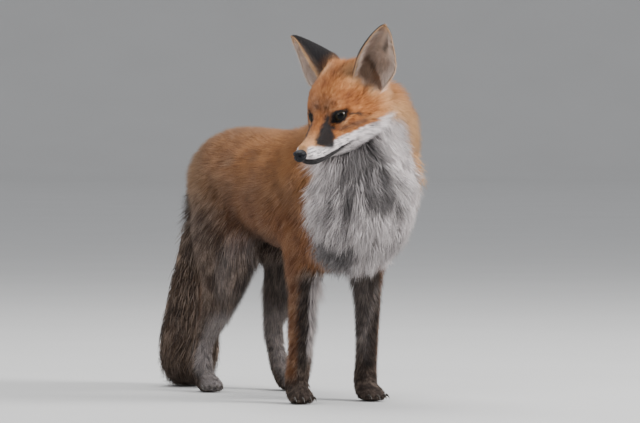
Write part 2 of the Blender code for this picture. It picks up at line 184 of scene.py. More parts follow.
def head_coat(local):
    """The depth of the coat and the length of its hair at places on the head, in millimetres."""
    ahead, side, up = local[..., 0], np.abs(local[..., 1]), local[..., 2]
    half = np.stack([ahead, side, up], -1)
    cup = np.maximum(0.45 * spot(half, EAR_CUP, (16, 15, 16)), spot(half, (-76, 26, 48), (14, 16, 14)))
    cup = np.maximum(cup, spot(half, (-64, 19, 54), (13, 9, 10)))
    rim_foot = spot(half, (-38, 31, 42), (9, 9, 10))
    depth = np.interp(ahead, (-100, -70, -40, -10, 10, 40, 76), (13, 11, 8.0, 4.2, 2.6, 1.6, 0.8))
    cheek = spot(half, (-48, 58, -30), (30, 30, 24))
    hair = np.interp(ahead, (-100, -70, -40, -10, 10, 40, 76), (30, 25, 17, 10, 7.0, 4.6, 2.6))
    chin = smoothstep(-38, -50, up) * smoothstep(40, 10, ahead)
    depth = depth + 6 * cheek + 3 * chin + 2 * rim_foot
    hair = hair + 10 * cheek + 6 * chin + 5 * rim_foot
    return depth * (1 - 0.80 * cup), hair * (1 - 0.62 * cup)


def within_head(local, sink=0.0):
    """(side / half width)² + (height from the widest line / half height)²: under 1 inside the head."""
    ahead, *columns = np.array(HEAD_SECTIONS).T
    crown, chin, widest, half = (np.interp(-local[:, 0], -ahead, column) for column in columns)
    tall = np.where(local[:, 2] > widest, crown - widest, widest - chin) - sink
    return (local[:, 1] / (half - sink)) ** 2 + ((local[:, 2] - widest) / tall) ** 2


FLESH = [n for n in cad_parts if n.split("_")[0] not in ("head", "ear", "eye", "nose")]
HIDE_CELL = 0.0035
LOWEST_HIDE, LOWEST_HAIR = 0.0006, 0.0004  # above the floor
SKULL_MIDDLE = (-55, 0, -12)  # the hide shrinks towards it inside the head, which has a finer skin of its own
SWELL = 0.0003  # closes the thin gaps between the solids


def joined_outline():
    """One closed surface round the solids of the body and the head."""
    work = bmesh.new()
    for node in (*FLESH, "head"):
        work.from_mesh(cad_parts[node].data)
    bmesh.ops.remove_doubles(work, verts=work.verts, dist=0.00001)
    mesh = bpy.data.meshes.new("outline")
    work.to_mesh(mesh)
    work.free()
    points, triangles = mesh_arrays(mesh)
    points = points + corner_normals(points, triangles) * SWELL
    mesh.vertices.foreach_set("co", points.ravel())
    shape = bpy.data.objects.new("outline", mesh)
    bpy.context.scene.collection.objects.link(shape)
    wrap = shape.modifiers.new("wrap", "REMESH")
    wrap.mode = "VOXEL"
    wrap.voxel_size = HIDE_CELL
    bpy.context.view_layer.update()
    wrapped = bpy.data.meshes.new_from_object(shape.evaluated_get(bpy.context.evaluated_depsgraph_get()))
    bpy.data.objects.remove(shape)
    return mesh_arrays(wrapped)


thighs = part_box("thigh_hind_left"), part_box("thigh_hind_right")
BODY_X = (thighs[0][1].x + thighs[1][0].x) / 2
trunk_low, trunk_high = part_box("trunk")


def along_trunk(share, height):
    """A place on the midline, share of the way from chest to rump and that high."""
    return (BODY_X, trunk_low.y + (trunk_high.y - trunk_low.y) * share, height)


def leg_line(leg, upper, lower):
    """From inside the body down the middle of a leg and out to the toes."""
    paw_low, paw_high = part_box(f"paw_{leg}")
    toes = ((paw_low.x + paw_high.x) / 2, paw_low.y + 0.004, 0.008)
    heel = slice_middle(f"paw_{leg}", 0.95)
    top = middle(f"{upper}_{leg}") + (0, 0, 0.035)
    knee = slice_middle(f"{lower}_{leg}", 1.0)
    wrist = slice_middle(f"{lower}_{leg}", 0.0)
    return [top, knee, (knee + wrist) / 2, wrist, heel * (1, 1, 0.6), toes]


# A line through the body and, at each point of it, its reach, the depth of the coat and the hair's length.
LINES = {
    "back": [
        (*along_trunk(0.22, 0.282), 0.080, 0.014, 0.034),
        (*along_trunk(0.45, 0.284), 0.078, 0.012, 0.031),
        (*along_trunk(0.70, 0.290), 0.075, 0.012, 0.031),
        (*along_trunk(0.93, 0.282), 0.068, 0.013, 0.033),
    ],
    "nape": [
        (*on_head((-72, 0, 18)), 0.050, 0.015, 0.028),
        (*(on_head((-78, 6, -30)) * 0.6 + np.array(along_trunk(0.22, 0.30)) * 0.4), 0.075, 0.018, 0.035),
        (*along_trunk(0.24, 0.305), 0.078, 0.017, 0.036),
    ],
    "ruff": [
        (*on_head((-34, 2, -46)), 0.045, 0.016, 0.034),
        (*along_trunk(0.13, 0.305), 0.080, 0.023, 0.042),
        (*along_trunk(0.14, 0.255), 0.078, 0.025, 0.043),
        (*along_trunk(0.18, 0.205), 0.058, 0.019, 0.030),
    ],
    "tail": [
        (*slice_middle("tail", 0.97, 0.012), 0.028, 0.012, 0.040),
        (*slice_middle("tail", 0.66, 0.012), 0.034, 0.017, 0.050),
        (*slice_middle("tail", 0.33, 0.012), 0.042, 0.023, 0.060),
        (*slice_middle("tail", 0.03, 0.012), 0.052, 0.030, 0.064),
        (*slice_middle("tail_tip", 0.15, 0.014), 0.045, 0.028, 0.050),
    ],
}
LEG_COAT = {
    "front": [(0.058, 0.015, 0.034), (0.034, 0.008, 0.024), (0.024, 0.0050, 0.015)],
    "hind": [(0.080, 0.012, 0.028), (0.040, 0.009, 0.024), (0.026, 0.0050, 0.014)],
}
FOOT_COAT = [(0.020, 0.0040, 0.011), (0.020, 0.0030, 0.009), (0.018, 0.0022, 0.006)]
for leg in ("front_left", "front_right", "hind_left", "hind_right"):
    upper, lower = ("shoulder", "forearm") if leg.startswith("front") else ("thigh", "hock")
    coats = LEG_COAT[leg.split("_")[0]] + FOOT_COAT
    LINES[leg] = [(*place, *coat) for place, coat in zip(leg_line(leg, upper, lower), coats)]
LINE_STEP = 0.007  # between the places read from a line


def read_line(rows):
    """The rows of a line read at even steps of its length: places, directions, values and distance gone."""
    rows = np.array([[float(x) for x in row] for row in rows])
    gone = np.concatenate([[0], np.cumsum(np.linalg.norm(np.diff(rows[:, :3], axis=0), axis=1))])
    at = np.linspace(0, gone[-1], max(3, int(gone[-1] / LINE_STEP)))
    read = np.stack([np.interp(at, gone, column) for column in rows.T], 1)
    kernel = np.ones(3) / 3
    padded = np.pad(read, ((1, 1), (0, 0)), mode="edge")
    read[1:-1] = np.stack([np.convolve(column, kernel, "valid") for column in padded.T], 1)[1:-1]
    return read[:, :3], unit(np.gradient(read[:, :3], axis=0)), read[:, 3:], at


line_names = list(LINES)
read_lines = [read_line(rows) for rows in LINES.values()]
line_at = np.concatenate([r[0] for r in read_lines]).astype(np.float32)
line_to = np.concatenate([r[1] for r in read_lines]).astype(np.float32)
line_coat = np.concatenate([r[2] for r in read_lines]).astype(np.float32)
line_gone = np.concatenate([r[3] / r[3][-1] for r in read_lines]).astype(np.float32)
line_owner = np.concatenate([np.full(len(r[0]), k) for k, r in enumerate(read_lines)])


def from_lines(points):
    """The mean of the lines' directions and coats, weighted by (reach / distance) to the eighth.

    Also the nearest place on a line by the same measure.
    """
    out_to, out_coat, nearest = [], [], []
    for part in np.array_split(points.astype(np.float32), max(1, len(points) // 20000)):
        square = ((part[:, None] - line_at) ** 2).sum(-1)
        weight = (line_coat[:, 0] ** 2 / np.maximum(square, 1e-8)) ** 4
        nearest.append(weight.argmax(1))
        weight /= weight.sum(1, keepdims=True)
        out_to.append(weight @ line_to)
        out_coat.append(weight @ line_coat)
    return np.concatenate(out_to), np.concatenate(out_coat), np.concatenate(nearest)


def lie_of_coat(points, normals, towards):
    """The growth laid flat on the surface: along the lines, a little downwards, fanned on the chest."""
    chest = smoothstep(-0.09, -0.15, points[:, 1:2]) * smoothstep(0.36, 0.31, points[:, 2:3])
    fan = np.tanh((points[:, :1] - 0.018) / 0.045)
    towards = towards + np.array([0, 0, -0.30]) + chest * np.array([0, 0.35, -0.55])
    towards = towards + 0.75 * chest * fan * (1, 0, 0)
    from_skull = np.linalg.norm(points - on_head((-62, 0, -12)), axis=1)
    near_head = smoothstep(0.120, 0.065, from_skull)[:, None]
    towards = towards - 0.9 * near_head * (np.array([1.0, 0, 0.25]) @ HEAD_TURN)
    return unit(towards - normals * (towards * normals).sum(1, keepdims=True))


def bend_along(points, normals, edges, flow):
    """How strongly the surface turns away along the flow, per metre: positive on an outward curve."""
    step = points[edges[:, 1]] - points[edges[:, 0]]
    square = (step**2).sum(1)
    turn = ((normals[edges[:, 1]] - normals[edges[:, 0]]) * step).sum(1) / square
    total, weights = np.zeros(len(points)), np.full(len(points), 1e-9)
    for end in (0, 1):
        near = np.abs((flow[edges[:, end]] * step).sum(1)) ** 4 / square**2
        total += np.bincount(edges[:, end], turn * near, len(points))
        weights += np.bincount(edges[:, end], near, len(points))
    return total / weights


outline, hide_triangles = joined_outline()
hide_edges = edges_of(hide_triangles)
rough = outline
outline = evened(outline, hide_edges, 9)
foot_share = smoothstep(0.055, 0.030, outline[:, 2:3])
outline = outline * (1 - foot_share) + evened(rough, hide_edges, 2) * foot_share
out_normals = unit(evened(corner_normals(outline, hide_triangles), hide_edges, 6))
hide_to, hide_coat, hide_near = from_lines(outline)
outline_on_head = from_head(outline)
in_skull = smoothstep(-62, -30, outline_on_head[:, 0]) * smoothstep(1.8, 1.3, within_head(outline_on_head))
in_skull = (in_skull * (outline_on_head[:, 0] < 80))[:, None]
hide = outline - out_normals * hide_coat[:, 1:2] * (1 - in_skull)
hide = hide + (on_head(SKULL_MIDDLE) - hide) * 0.5 * in_skull
hide = evened(hide, hide_edges, 6) * (1 - foot_share) + hide * foot_share
hide[:, 2] = np.maximum(hide[:, 2], LOWEST_HIDE)
hide_normals = corner_normals(hide, hide_triangles)
calm_normals = unit(evened(hide_normals, hide_edges, 8))
hide_flow = lie_of_coat(hide, calm_normals, hide_to)
hide_bend = evened(bend_along(hide, calm_normals, hide_edges, hide_flow)[:, None], hide_edges, 8)[:, 0]
hide_gap = ((outline - hide) * calm_normals).sum(1)
hide_depth = np.clip(hide_gap, 0.7 * hide_coat[:, 1], 1.7 * hide_coat[:, 1])


# ------------------------------------------------------------------ the markings
# Rust above, white on the lips, cheeks, throat and chest, black on the ears, tear marks and stockings, and
# grizzled grey-brown on the rump, thighs and brush. Hide and hair ask the same functions.
def waves(points, size, seed):
    """A smooth random field from about -1 to 1: the sum of sine waves of that size in random directions."""
    draw = np.random.default_rng(seed)
    turn = unit(draw.normal(size=(14, 3))).T * (math.tau / size) * draw.uniform(0.6, 1.5, 14)
    return np.sin(points @ turn + draw.uniform(0, math.tau, 14)).mean(1) * 2.4


def near_segment(where, start, end, wide_start, wide_end, soft):
    """1 within a width of the straight line from start to end, fading over soft beyond it."""
    start, end = np.asarray(start, float), np.asarray(end, float)
    line = end - start
    t = np.clip((where - start) @ line / (line @ line), 0, 1)
    far = np.linalg.norm(where - start - t[:, None] * line, axis=1)
    wide = wide_start + (wide_end - wide_start) * t
    return smoothstep(wide + soft, wide - soft, far)


def laid_over(*layers):
    """The greatest of the shares at each place."""
    shares = layers[0]
    for layer in layers[1:]:
        shares = np.maximum(shares, layer)
    return shares


# The line between the lips, which dips in its middle and curls up at the corner, and the lower edge of the
# rust, both as places ahead of the eyes and heights there, in millimetres.
LIPS = (
    (-6, 2, 14, 25, 36, 49, 58, 64, 72),
    (-33, -34.6, -37.0, -39.6, -40.6, -39.4, -37.6, -35.5, -31),
)
WHITE_EDGE = (
    (-90, -70, -55, -38, -22, -3, 18, 26, 40, 50, 58, 80),
    (-12, -19, -18, -20, -21, -23, -24, -27, -28, -23, -21, -21),
)
# Dark lines on one half of the head: share, start, end, half widths at both and softness.
DARK_LINES = (
    (1.00, (10.5, 18.5, 5), (15, 18.5, -6), 4.6, 6.4, 1.6),  # from the eye's inner corner into the tear mark
    (0.95, (-3, 30, 4), (-17, 44, -4.5), 2.4, 1.6, 1.6),  # behind the eye
    (0.60, (-14, 42, -2.4), (-26, 52, -11), 1.2, 1.0, 2.0),
    (0.85, (-1, 33, -35), (9, 28, -37.5), 2.2, 1.6, 1.5),  # the corner of the mouth
    (0.62, (-6, 38, -31.5), (-18, 48, -39), 1.0, 2.2, 2.2),  # behind it over the cheek
    (0.50, (-18, 48, -39), (-36, 60, -50), 2.2, 2.0, 2.5),
    (0.45, (40, 17, -31), (54, 14, -34), 0.8, 1.0, 1.5),  # along the upper lip
)
# Spots on one half of the head: share, middle and reach.
DARK_SPOTS = (
    (0.50, (44, 15, -27), (9, 9, 3.5)),  # at the foot of the tear mark
    (0.62, (70, 4, -19), (6, 8, 5)),  # over the nose
    # the next spot is painted shade in the pit below the ear
    (0.92, (-43, 47, 29), (5, 6, 4)),  # the pit below the ear
)
CREAM_SPOTS = (
    (0.85, (-38, 32, 44), (11, 11, 13)),  # before the ear
    (0.72, (-42, 23, 52), (12, 11, 10)),
    (0.95, (-46, 55, 21), (9, 11, 9)),  # below the ear
)


def mouth_height(ahead):
    """The height of the line between the lips."""
    return np.interp(ahead, *LIPS)


EYE_RADIUS = 10.2
GAZE = (0.735, 0.655, 0.10)
LID_LONG, LID_UPPER, LID_LOWER = 9.7, 5.2, 4.7
EYE_SHIFT = (-2.2, -4.5, -0.3)  # from the middle of the solid: forward, and in towards the bridge


def eye_axes(side):
    """The eye's middle, its gaze, the way to its inner corner and the way up, on the head in millimetres."""
    gaze = unit(np.array(GAZE) * (1, side, 1))
    inner = np.array((0.77, -0.57 * side, -0.38))
    inner = unit(inner - gaze * (inner @ gaze))
    up = np.cross(gaze, inner)
    up = up * np.sign(up[2])
    centre = from_head(middle("eye_left" if side > 0 else "eye_right"))
    return centre + np.array(EYE_SHIFT) * (1, side, 1), gaze, inner, up


def head_marks(local):
    """White, black, grey and cream shares at places on the head, in millimetres, the same on both halves."""
    uneven = 0.35 + 0.020 * np.abs(70 - local[:, :1])
    wobble = np.stack([waves(local, 9.0, 60), waves(local, 9.0, 61)], 1) * uneven
    ahead, side, up = local[:, 0] + wobble[:, 0], np.abs(local[:, 1]), local[:, 2] + wobble[:, 1]
    half = np.stack([ahead, side, up], 1)
    edge, lip = np.interp(ahead, *WHITE_EDGE), mouth_height(ahead)
    white = smoothstep(edge + 2.2, edge - 2.2, up)
    under_nose = smoothstep(9.5, 6.5, side) * smoothstep(50, 60, ahead) * smoothstep(-34, -27, up)
    white = white * (1 - 0.92 * under_nose)

    # the tear mark, between three lines
    above = 0.57 * (ahead - 10.5) + 0.822 * (up - 7.3)
    behind = 0.912 * (ahead - 12) + 0.41 * (up + 3)
    below = up + 36.5 - 0.55 * (ahead - 24)
    tear = smoothstep(1.6, -3.6, above) * smoothstep(-2.6, 3.0, behind) * smoothstep(-4.6, 4.0, below)

    # the black round the lids, the pale rim below them and the shade under that
    centre, gaze, inner, lid_up = eye_axes(1)
    from_eye = half - centre
    long_way, tall_way = from_eye @ inner, from_eye @ lid_up
    facing = smoothstep(-5, -2, from_eye @ gaze)
    socket = np.abs(tall_way - 0.4) / (LID_UPPER + 2.6) + ((long_way - 1.4) / (LID_LONG + 5.4)) ** 2
    rim_way = np.stack([long_way, tall_way + 9.6 - 0.02 * long_way**2], 1)
    lower_rim = spot(rim_way, (0, 0), (8, 1.5)) * facing
    shade = near_segment(half, (7, 28, -14), (-20, 47, -14), 3.6, 2.4, 4.5) * (1 - 0.8 * lower_rim)
    brow = 0.34 * spot(half, (9, 9, 14), (5, 5, 3.5)) + 0.28 * spot(half, (1, 9, 17), (6, 4, 4))

    # the dark lower lip, the chin's underside, the rows of whisker roots and fine threads over the cheek
    jaw = np.interp(ahead, (0, 14, 30, 70), (3.5, 6.5, 12.0, 14.0))
    lower = smoothstep(lip + 0.7, lip - 0.5, up) * smoothstep(lip - jaw - 1.5, lip - jaw + 1.5, up)
    chin = 0.38 * smoothstep(-46, -54, up) * smoothstep(42, 28, ahead) * smoothstep(-34, -14, ahead)
    rows = smoothstep(0.0, 0.75, np.cos((up + 0.04 * ahead) * math.tau / 4.2))
    rows = rows * smoothstep(-0.7, 0.1, waves(local, 6.0, 63))
    bed = smoothstep(32, 42, ahead) * smoothstep(68, 61, ahead) * smoothstep(7, 10, side)
    rows = 0.72 * rows * bed * smoothstep(edge + 1, edge - 3, up) * smoothstep(lip + 1, lip + 4, up)
    lengthwise = np.stack([0.16 * local[:, 0], 0.16 * side, up], 1)
    threads = 0.48 * smoothstep(0.15, 0.65, waves(lengthwise, 3.6, 64)) * white
    threads = threads * smoothstep(36, 20, ahead) * smoothstep(-80, -60, ahead)

    # the pale hollow before the ear and the black behind it
    cup = np.maximum(spot(half, EAR_CUP, (17, 14, 16)), spot(half, (-62, 52, 24), (13, 10, 12)))
    deep = spot(half, (-69, 36, 46), (12, 11, 11))
    cup = np.maximum(smoothstep(0.15, 0.55, cup), smoothstep(0.10, 0.50, deep))
    behind_ear = smoothstep(0.15, 0.40, spot(half, (-79, 28, 48), (15, 18, 14))) * smoothstep(-73, -80, ahead)

    black = laid_over(
        tear * smoothstep(5, 9, side),
        smoothstep(1.14, 0.90, socket) * facing,
        0.60 * shade,
        brow,
        0.97 * lower * smoothstep(-6, 2, ahead),
        chin,
        rows,
        threads,
        0.95 * behind_ear,
        *(share * near_segment(half, *line) for share, *line in DARK_LINES),
        *(share * spot(half, *place) for share, *place in DARK_SPOTS),
    )
    cream = laid_over(
        0.52 * smoothstep(24, 56, ahead),
        0.5 * lower_rim,
        0.40 * near_segment(half, (-22, 49, -13), (-38, 59, -12), 1.5, 3.5, 4.0),
        0.55 * smoothstep(-34, -66, ahead) * smoothstep(26, 4, up),
        0.95 * cup,
        *(share * spot(half, *place) for share, *place in CREAM_SPOTS),
    )
    grey = 0.30 * spot(half, (4, 10, 16), (13, 13, 11)) + 0.25 * shade
    return np.stack([np.maximum(white, 0.40 * cup), np.clip(black, 0, 1), grey, cream], 1)


CHEST_AXIS = np.array([0.022, -0.200])
# Where the white of the chest ends on either side: heights, and bearings round the chest's axis in degrees.
RIGHT_EDGE = ((0.17, 0.27, 0.29, 0.307, 0.317, 0.35), (86, 87, 81, 70, 60, 58))
LEFT_EDGE = (
    (0.17, 0.25, 0.28, 0.31, 0.336, 0.356, 0.375, 0.395),
    (-80, -76, -60, -48, -34, -26, -21, -10),
)


def chest_marks(points):
    """White, black and cream shares of throat and chest: white with slate streaks, cream behind it, and
    painted shade under the jaw and at the chest's lower edge.
    """
    x, y, z = points.T
    bearing = np.degrees(np.arctan2(-(x - CHEST_AXIS[0]), -(y - CHEST_AXIS[1])))
    right, left = np.interp(z, *RIGHT_EDGE), np.interp(z, *LEFT_EDGE)
    front = smoothstep(0.160, 0.180, z) * smoothstep(-0.10, -0.14, y)
    white = smoothstep(right + 5, right - 5, bearing) * smoothstep(left - 5, left + 5, bearing)
    white = white * front * smoothstep(0.384, 0.370, z)
    cream = smoothstep(left - 60, left - 4, bearing) * smoothstep(0.25, 0.30, z) * (1 - white) * front
    cream = cream * smoothstep(60, 30, bearing) * smoothstep(0.430, 0.380, z)
    throat = smoothstep(right - 12, right - 32, bearing) * smoothstep(left + 28, left + 50, bearing)
    middle_chest = throat * smoothstep(0.205, 0.265, z)
    streaks = waves(points * (1, 1, 0.20), 0.0125, 92) + 0.60 * middle_chest * smoothstep(0.21, 0.29, z)
    streaks = smoothstep(-0.10, 0.70, streaks)
    left_part = smoothstep(left + 50, left + 22, bearing)
    slate = 0.80 * streaks * white * (0.50 + 0.50 * middle_chest) * (1 - 0.6 * left_part)
    black = laid_over(
        # painted shadow of the head under the jaw, over dark grey throat hair
        0.70 * throat * smoothstep(0.265, 0.315, z) * front,
        slate * smoothstep(0.36, 0.33, z),
        0.26 * white * smoothstep(0.30, 0.22, z) * (1 - 0.5 * left_part),
        # painted shade where the chest meets the right foreleg, over darker fur there
        0.80 * white * smoothstep(0.232, 0.190, z + 0.25 * x) * smoothstep(0.025, -0.015, x),
    )
    jaw = near_segment(from_head(points), (22, -10, -64), (-48, -60, -44), 15, 16, 7)
    return np.maximum(white, jaw), black, cream * (1 - jaw)


def body_marks(points, normals):
    """White, black, grey and cream shares at places on the body, in the fox's own metres."""
    white, black, cream = chest_marks(points)
    x, y, z = points.T
    wide = x - BODY_X
    out = normals[:, 0] * np.sign(wide)
    facing_back = normals[:, 1]
    hind = smoothstep(0.00, 0.04, y)
    limb = smoothstep(0.205, 0.165, z)
    fore = limb * (1 - hind)
    brush = smoothstep(0.200, 0.225, y - 0.45 * np.maximum(z - 0.27, 0))

    # the trunk: grizzled towards the rump and low on the flanks, where the grey is partly painted shade; its
    # underside is darkened as painted shade
    shaded_underside = smoothstep(-0.35, -0.8, normals[:, 2]) * smoothstep(0.15, 0.18, z) * (1 - brush)
    rump = y - 0.85 * (z - 0.25) + 0.012 * waves(points, 0.05, 93)
    high = smoothstep(0.24, 0.30, z)
    saddle = smoothstep(0.25, 0.75, waves(points * (1, 0.35, 1), 0.035, 94)) * smoothstep(0.24, 0.27, z)
    rust_side = smoothstep(0.35, 0.80, out) * smoothstep(0.02, 0.04, z)
    grey = laid_over(
        smoothstep(-0.025, 0.110, rump) * (1 - 0.30 * high),
        # greyer low on the flanks: partly grizzle, partly painted shade
        0.04 + 0.34 * smoothstep(0.325, 0.275, z) + 0.28 * smoothstep(-0.02, 0.10, y),
        0.55 * saddle * smoothstep(-0.12, 0.0, y) * smoothstep(0.34, 0.32, z),
        fore * (1 - 0.48 * rust_side),
    )
    cream = np.maximum(cream, 0.20 * high + 0.16 * smoothstep(0.05, 0.12, rump) * high)

    # the legs: black down the front of the forelegs, paler inside, with one pale stripe on the left foreleg;
    # painted shade darkens the inside of the left foreleg and high inside the hind legs
    round_leg = np.where(wide > 0, smoothstep(-0.95, -0.60, out), smoothstep(-0.36, -0.16, out))
    stocking = fore * smoothstep(0.78, 0.38, out) * round_leg * smoothstep(0.190, 0.155, z)
    stocking = stocking * smoothstep(0.10, -0.35, facing_back)
    inner = np.where((wide < 0) & (y < 0), smoothstep(-0.14, -0.34, out), smoothstep(-0.15, -0.6, out))
    inner = inner * limb * (1 - brush)
    # less pale inside the left foreleg and high inside the hind legs, where painted shade lies
    paler = np.where(wide > 0, 0.18, 0.62) * (1 - hind) + 0.30 * hind
    paler = paler * inner * smoothstep(0.045, 0.075, z) * (1 - 0.8 * hind * smoothstep(0.10, 0.13, z))
    stripe = near_segment(np.stack([x, z], 1), (0.080, 0.152), (0.054, 0.080), 0.003, 0.003, 0.005)
    stripe = stripe * fore * (facing_back < 0)
    black = laid_over(
        black,
        # painted shade on the trunk's underside
        0.35 * shaded_underside * smoothstep(-0.14, -0.10, y),
        0.72 * stocking * smoothstep(0.032, 0.05, z),
        # painted shadow high inside the hind legs, over darker grey hair
        0.62 * inner * hind * smoothstep(0.085, 0.125, z),
        # painted shade inside the left foreleg
        0.55 * inner * (1 - hind) * (wide > 0),
    )
    black = black * (1 - 0.75 * stripe)

    # the hind legs: rust down the back of the hock, pale below it, fluff before the knee
    heel = hind * limb * (1 - brush)
    rear = smoothstep(0.30, 0.80, facing_back) * smoothstep(0.04, 0.08, z) * smoothstep(0.215, 0.150, z)
    grey = grey * (1 - 0.60 * rear * heel)
    pale_heel = np.where(wide > 0, 0.28, 0.42) * heel * smoothstep(0.1, -0.4, facing_back)
    flank_line = np.stack([y, z], 1)
    fluff = near_segment(flank_line, (0.030, 0.205), (0.066, 0.135), 0.009, 0.009, 0.014) * (1 - brush)
    fluff = 0.20 * fluff * smoothstep(0.20, -0.30, facing_back) * smoothstep(0.02, 0.03, np.abs(wide))
    white = laid_over(white, paler, 0.30 * stripe, pale_heel * smoothstep(0.12, 0.10, z), fluff)

    # the brush: mottled, darker at its tip
    mottle = np.clip(0.5 + 0.5 * waves(points * (1, 1, 0.4), 0.030, 91), 0, 1)
    black = laid_over(
        black,
        np.where(wide > 0, 0.30, 0.15) * heel * smoothstep(0.16, 0.12, z),
        0.55 * smoothstep(0.050, 0.020, z) * (1 - brush),
        brush * (0.36 + 0.18 * mottle + 0.18 * smoothstep(0.07, 0.02, z)),
    )
    cream = np.maximum(cream * (1 - brush), brush * 0.12 * (1 - mottle))
    return np.stack([np.clip(white, 0, 1), np.clip(black, 0, 1), np.maximum(grey, brush), cream], 1)


hide_marks = body_marks(outline, calm_normals)


# ------------------------------------------------------------------ the head
# The head is a tube of half ellipses from nose to nape. Its outline is that of the solids, sunk by the short
# coat, with sockets under the brows, cheekbones, a groove between the lips and a chin.
HEAD_RINGS, HEAD_AROUND = 168, 130


def curve_through(stations, steps):
    """A Catmull-Rom curve through the rows of stations, read at even steps."""
    rows = np.asarray(stations, float)
    ends = np.vstack([2 * rows[0] - rows[1], rows, 2 * rows[-1] - rows[-2]])
    place = np.linspace(0, len(rows) - 1, steps)
    first = np.minimum(place.astype(int), len(rows) - 2)
    t = (place - first)[:, None]
    a, b, c, d = (ends[first + k] for k in range(4))
    return 0.5 * (2 * b + (c - a) * t + (2 * a - 5 * b + 4 * c - d) * t**2 + (3 * b - a - 3 * c + d) * t**3)


# Dents and bumps on the left half of the head, in millimetres: how far out, the middle and the reach.
HEAD_HILLS = (
    (-7.5, (4.5, 24, -1), (12, 12, 11)),  # the socket of the eye
    (-2.2, (16, 19, 4), (16, 10, 12)),  # the stop, where the muzzle meets the forehead
    (-4.0, (8, 25, 6), (14, 10, 14)),  # the upper half of the socket
    (-2.2, (13, 20, 1), (7, 6, 8)),  # the eye's inner corner
    (-1.8, (48, 8, -14), (20, 7, 7)),  # beside the bridge of the nose
    (-13.0, EAR_CUP, (17, 15, 17)),  # the foot of the ear's cup
    (3.0, (-6, 22, 16), (14, 12, 9)),  # the brow
    (2.5, (52, 15, -36), (16, 10, 9)),  # the bed of the whiskers
    (6.0, (-52, 60, -26), (26, 26, 20)),  # the cheek
)
LID_HILLS = (
    (2.4, (2, 23.5, 10), (9, 8, 4.5)),  # the fold over the eye
    (1.2, (5, 26, -9), (9, 8, 4.0)),  # the fold under it
)


def both_sides(local, hills):
    """The sum of smooth hills on the left half of the head and their mirror images on the right."""
    push = np.zeros(local.shape[:-1])
    for side in (-1, 1):
        for out, (ahead, wide, up), reach in hills:
            push += out * spot(local, (ahead, wide * side, up), reach)
    return push


def head_rings():
    """Half ellipses above and below the widest line, with the solids' bumps, sunk by the coat."""
    rows = curve_through(HEAD_SECTIONS, HEAD_RINGS)
    angle = np.linspace(0, math.tau, HEAD_AROUND, endpoint=False)
    tall = np.where(np.sin(angle) > 0, rows[:, 1:2] - rows[:, 3:4], rows[:, 3:4] - rows[:, 2:3])
    spread = rows[:, 4:5] * np.sign(np.cos(angle)) * np.abs(np.cos(angle)) ** 0.9
    height = rows[:, 3:4] + tall * np.sin(angle)
    local = np.stack([np.repeat(rows[:, 0:1], HEAD_AROUND, 1), spread, height], -1)
    centre = np.stack([rows[:, 0], np.zeros(HEAD_RINGS), rows[:, 3]], -1)[:, None]
    outward = unit(local - centre)
    push = both_sides(local, HEAD_HILLS) - head_coat(local)[0] + both_sides(local, LID_HILLS)
    push += 3.4 * spot(local, (50, 0, -50), (20, 13, 7))
    lip = (local[..., 2] - mouth_height(local[..., 0])) / 1.2
    along_lip = smoothstep(-2, 6, local[..., 0]) * smoothstep(72, 66, local[..., 0])
    push -= 1.7 * np.exp(-(lip**2)) * along_lip
    push -= 1.3 * smoothstep(0, -1.5, lip) * along_lip * smoothstep(20, 55, local[..., 0])
    local = local + outward * push[..., None]
    tip = smoothstep(56, 75, local[..., 0])
    local[..., 0] -= 6.5 * tip
    local[..., 1] *= 1 - 0.20 * tip
    local[..., 2] -= 2.6 * tip * smoothstep(-36, -24, local[..., 2])
    return local


def grid_triangles(rings, around, wrap=False):
    """Two triangles for each cell of a grid that closes round, and from last ring to first if wrap."""
    i, j = np.meshgrid(np.arange(rings - (not wrap)), np.arange(around), indexing="ij")
    k, m = (i + 1) % rings, (j + 1) % around
    a, b, c, d = i * around + j, i * around + m, k * around + m, k * around + j
    return np.concatenate([np.stack([a, b, c], -1).reshape(-1, 3), np.stack([a, c, d], -1).reshape(-1, 3)])


def tube_triangles(rings, around):
    """Triangles of a closed tube whose last two corners are its end poles."""
    j = np.arange(around)
    k = (j + 1) % around
    pole, ring = rings * around, (rings - 1) * around
    first = np.stack([np.full(around, pole), k, j], 1)
    last = np.stack([np.full(around, pole + 1), ring + j, ring + k], 1)
    return np.concatenate([grid_triangles(rings, around), first, last])


def facing_out(points, triangles):
    """The triangles turned round if their signed volume is negative."""
    a, b, c = (points[triangles[:, k]] for k in range(3))
    return triangles if (a * np.cross(b, c)).sum() > 0 else triangles[:, ::-1]


head_grid = head_rings()
head_local = np.vstack([head_grid.reshape(-1, 3), head_grid[0].mean(0), head_grid[-1].mean(0)])
head_points = on_head(head_local)
head_triangles = facing_out(head_points, tube_triangles(HEAD_RINGS, HEAD_AROUND))
head_edges = edges_of(head_triangles)
head_normals = corner_normals(head_points, head_triangles)
head_calm = unit(evened(head_normals, head_edges, 10))


def head_flow(local, normals):
    """Back from the nose, up over the forehead, round the eyes and down over the cheeks."""
    ahead, side, up = local[:, 0], local[:, 1], local[:, 2]
    lift = 0.30 * smoothstep(-12, 10, up) - 0.55 * smoothstep(-14, -40, up) * smoothstep(30, -10, ahead)
    lift = lift - 0.35 * smoothstep(-40, -80, ahead)
    spread = 0.30 * np.tanh(side / 20)
    towards = np.stack([-np.ones(len(local)), spread, lift], 1)
    for side_of in (-1, 1):
        foot = 1.5 * spot(local, (EAR_CUP[0] + 4, EAR_CUP[1] * side_of, EAR_CUP[2]), (26, 24, 22))
        foot = np.minimum(foot, 1)[:, None]
        towards = towards * (1 - foot) + np.array((-0.10, 0.49 * side_of, 0.87)) * foot
    towards = towards @ HEAD_TURN
    return unit(towards - normals * (towards * normals).sum(1, keepdims=True))


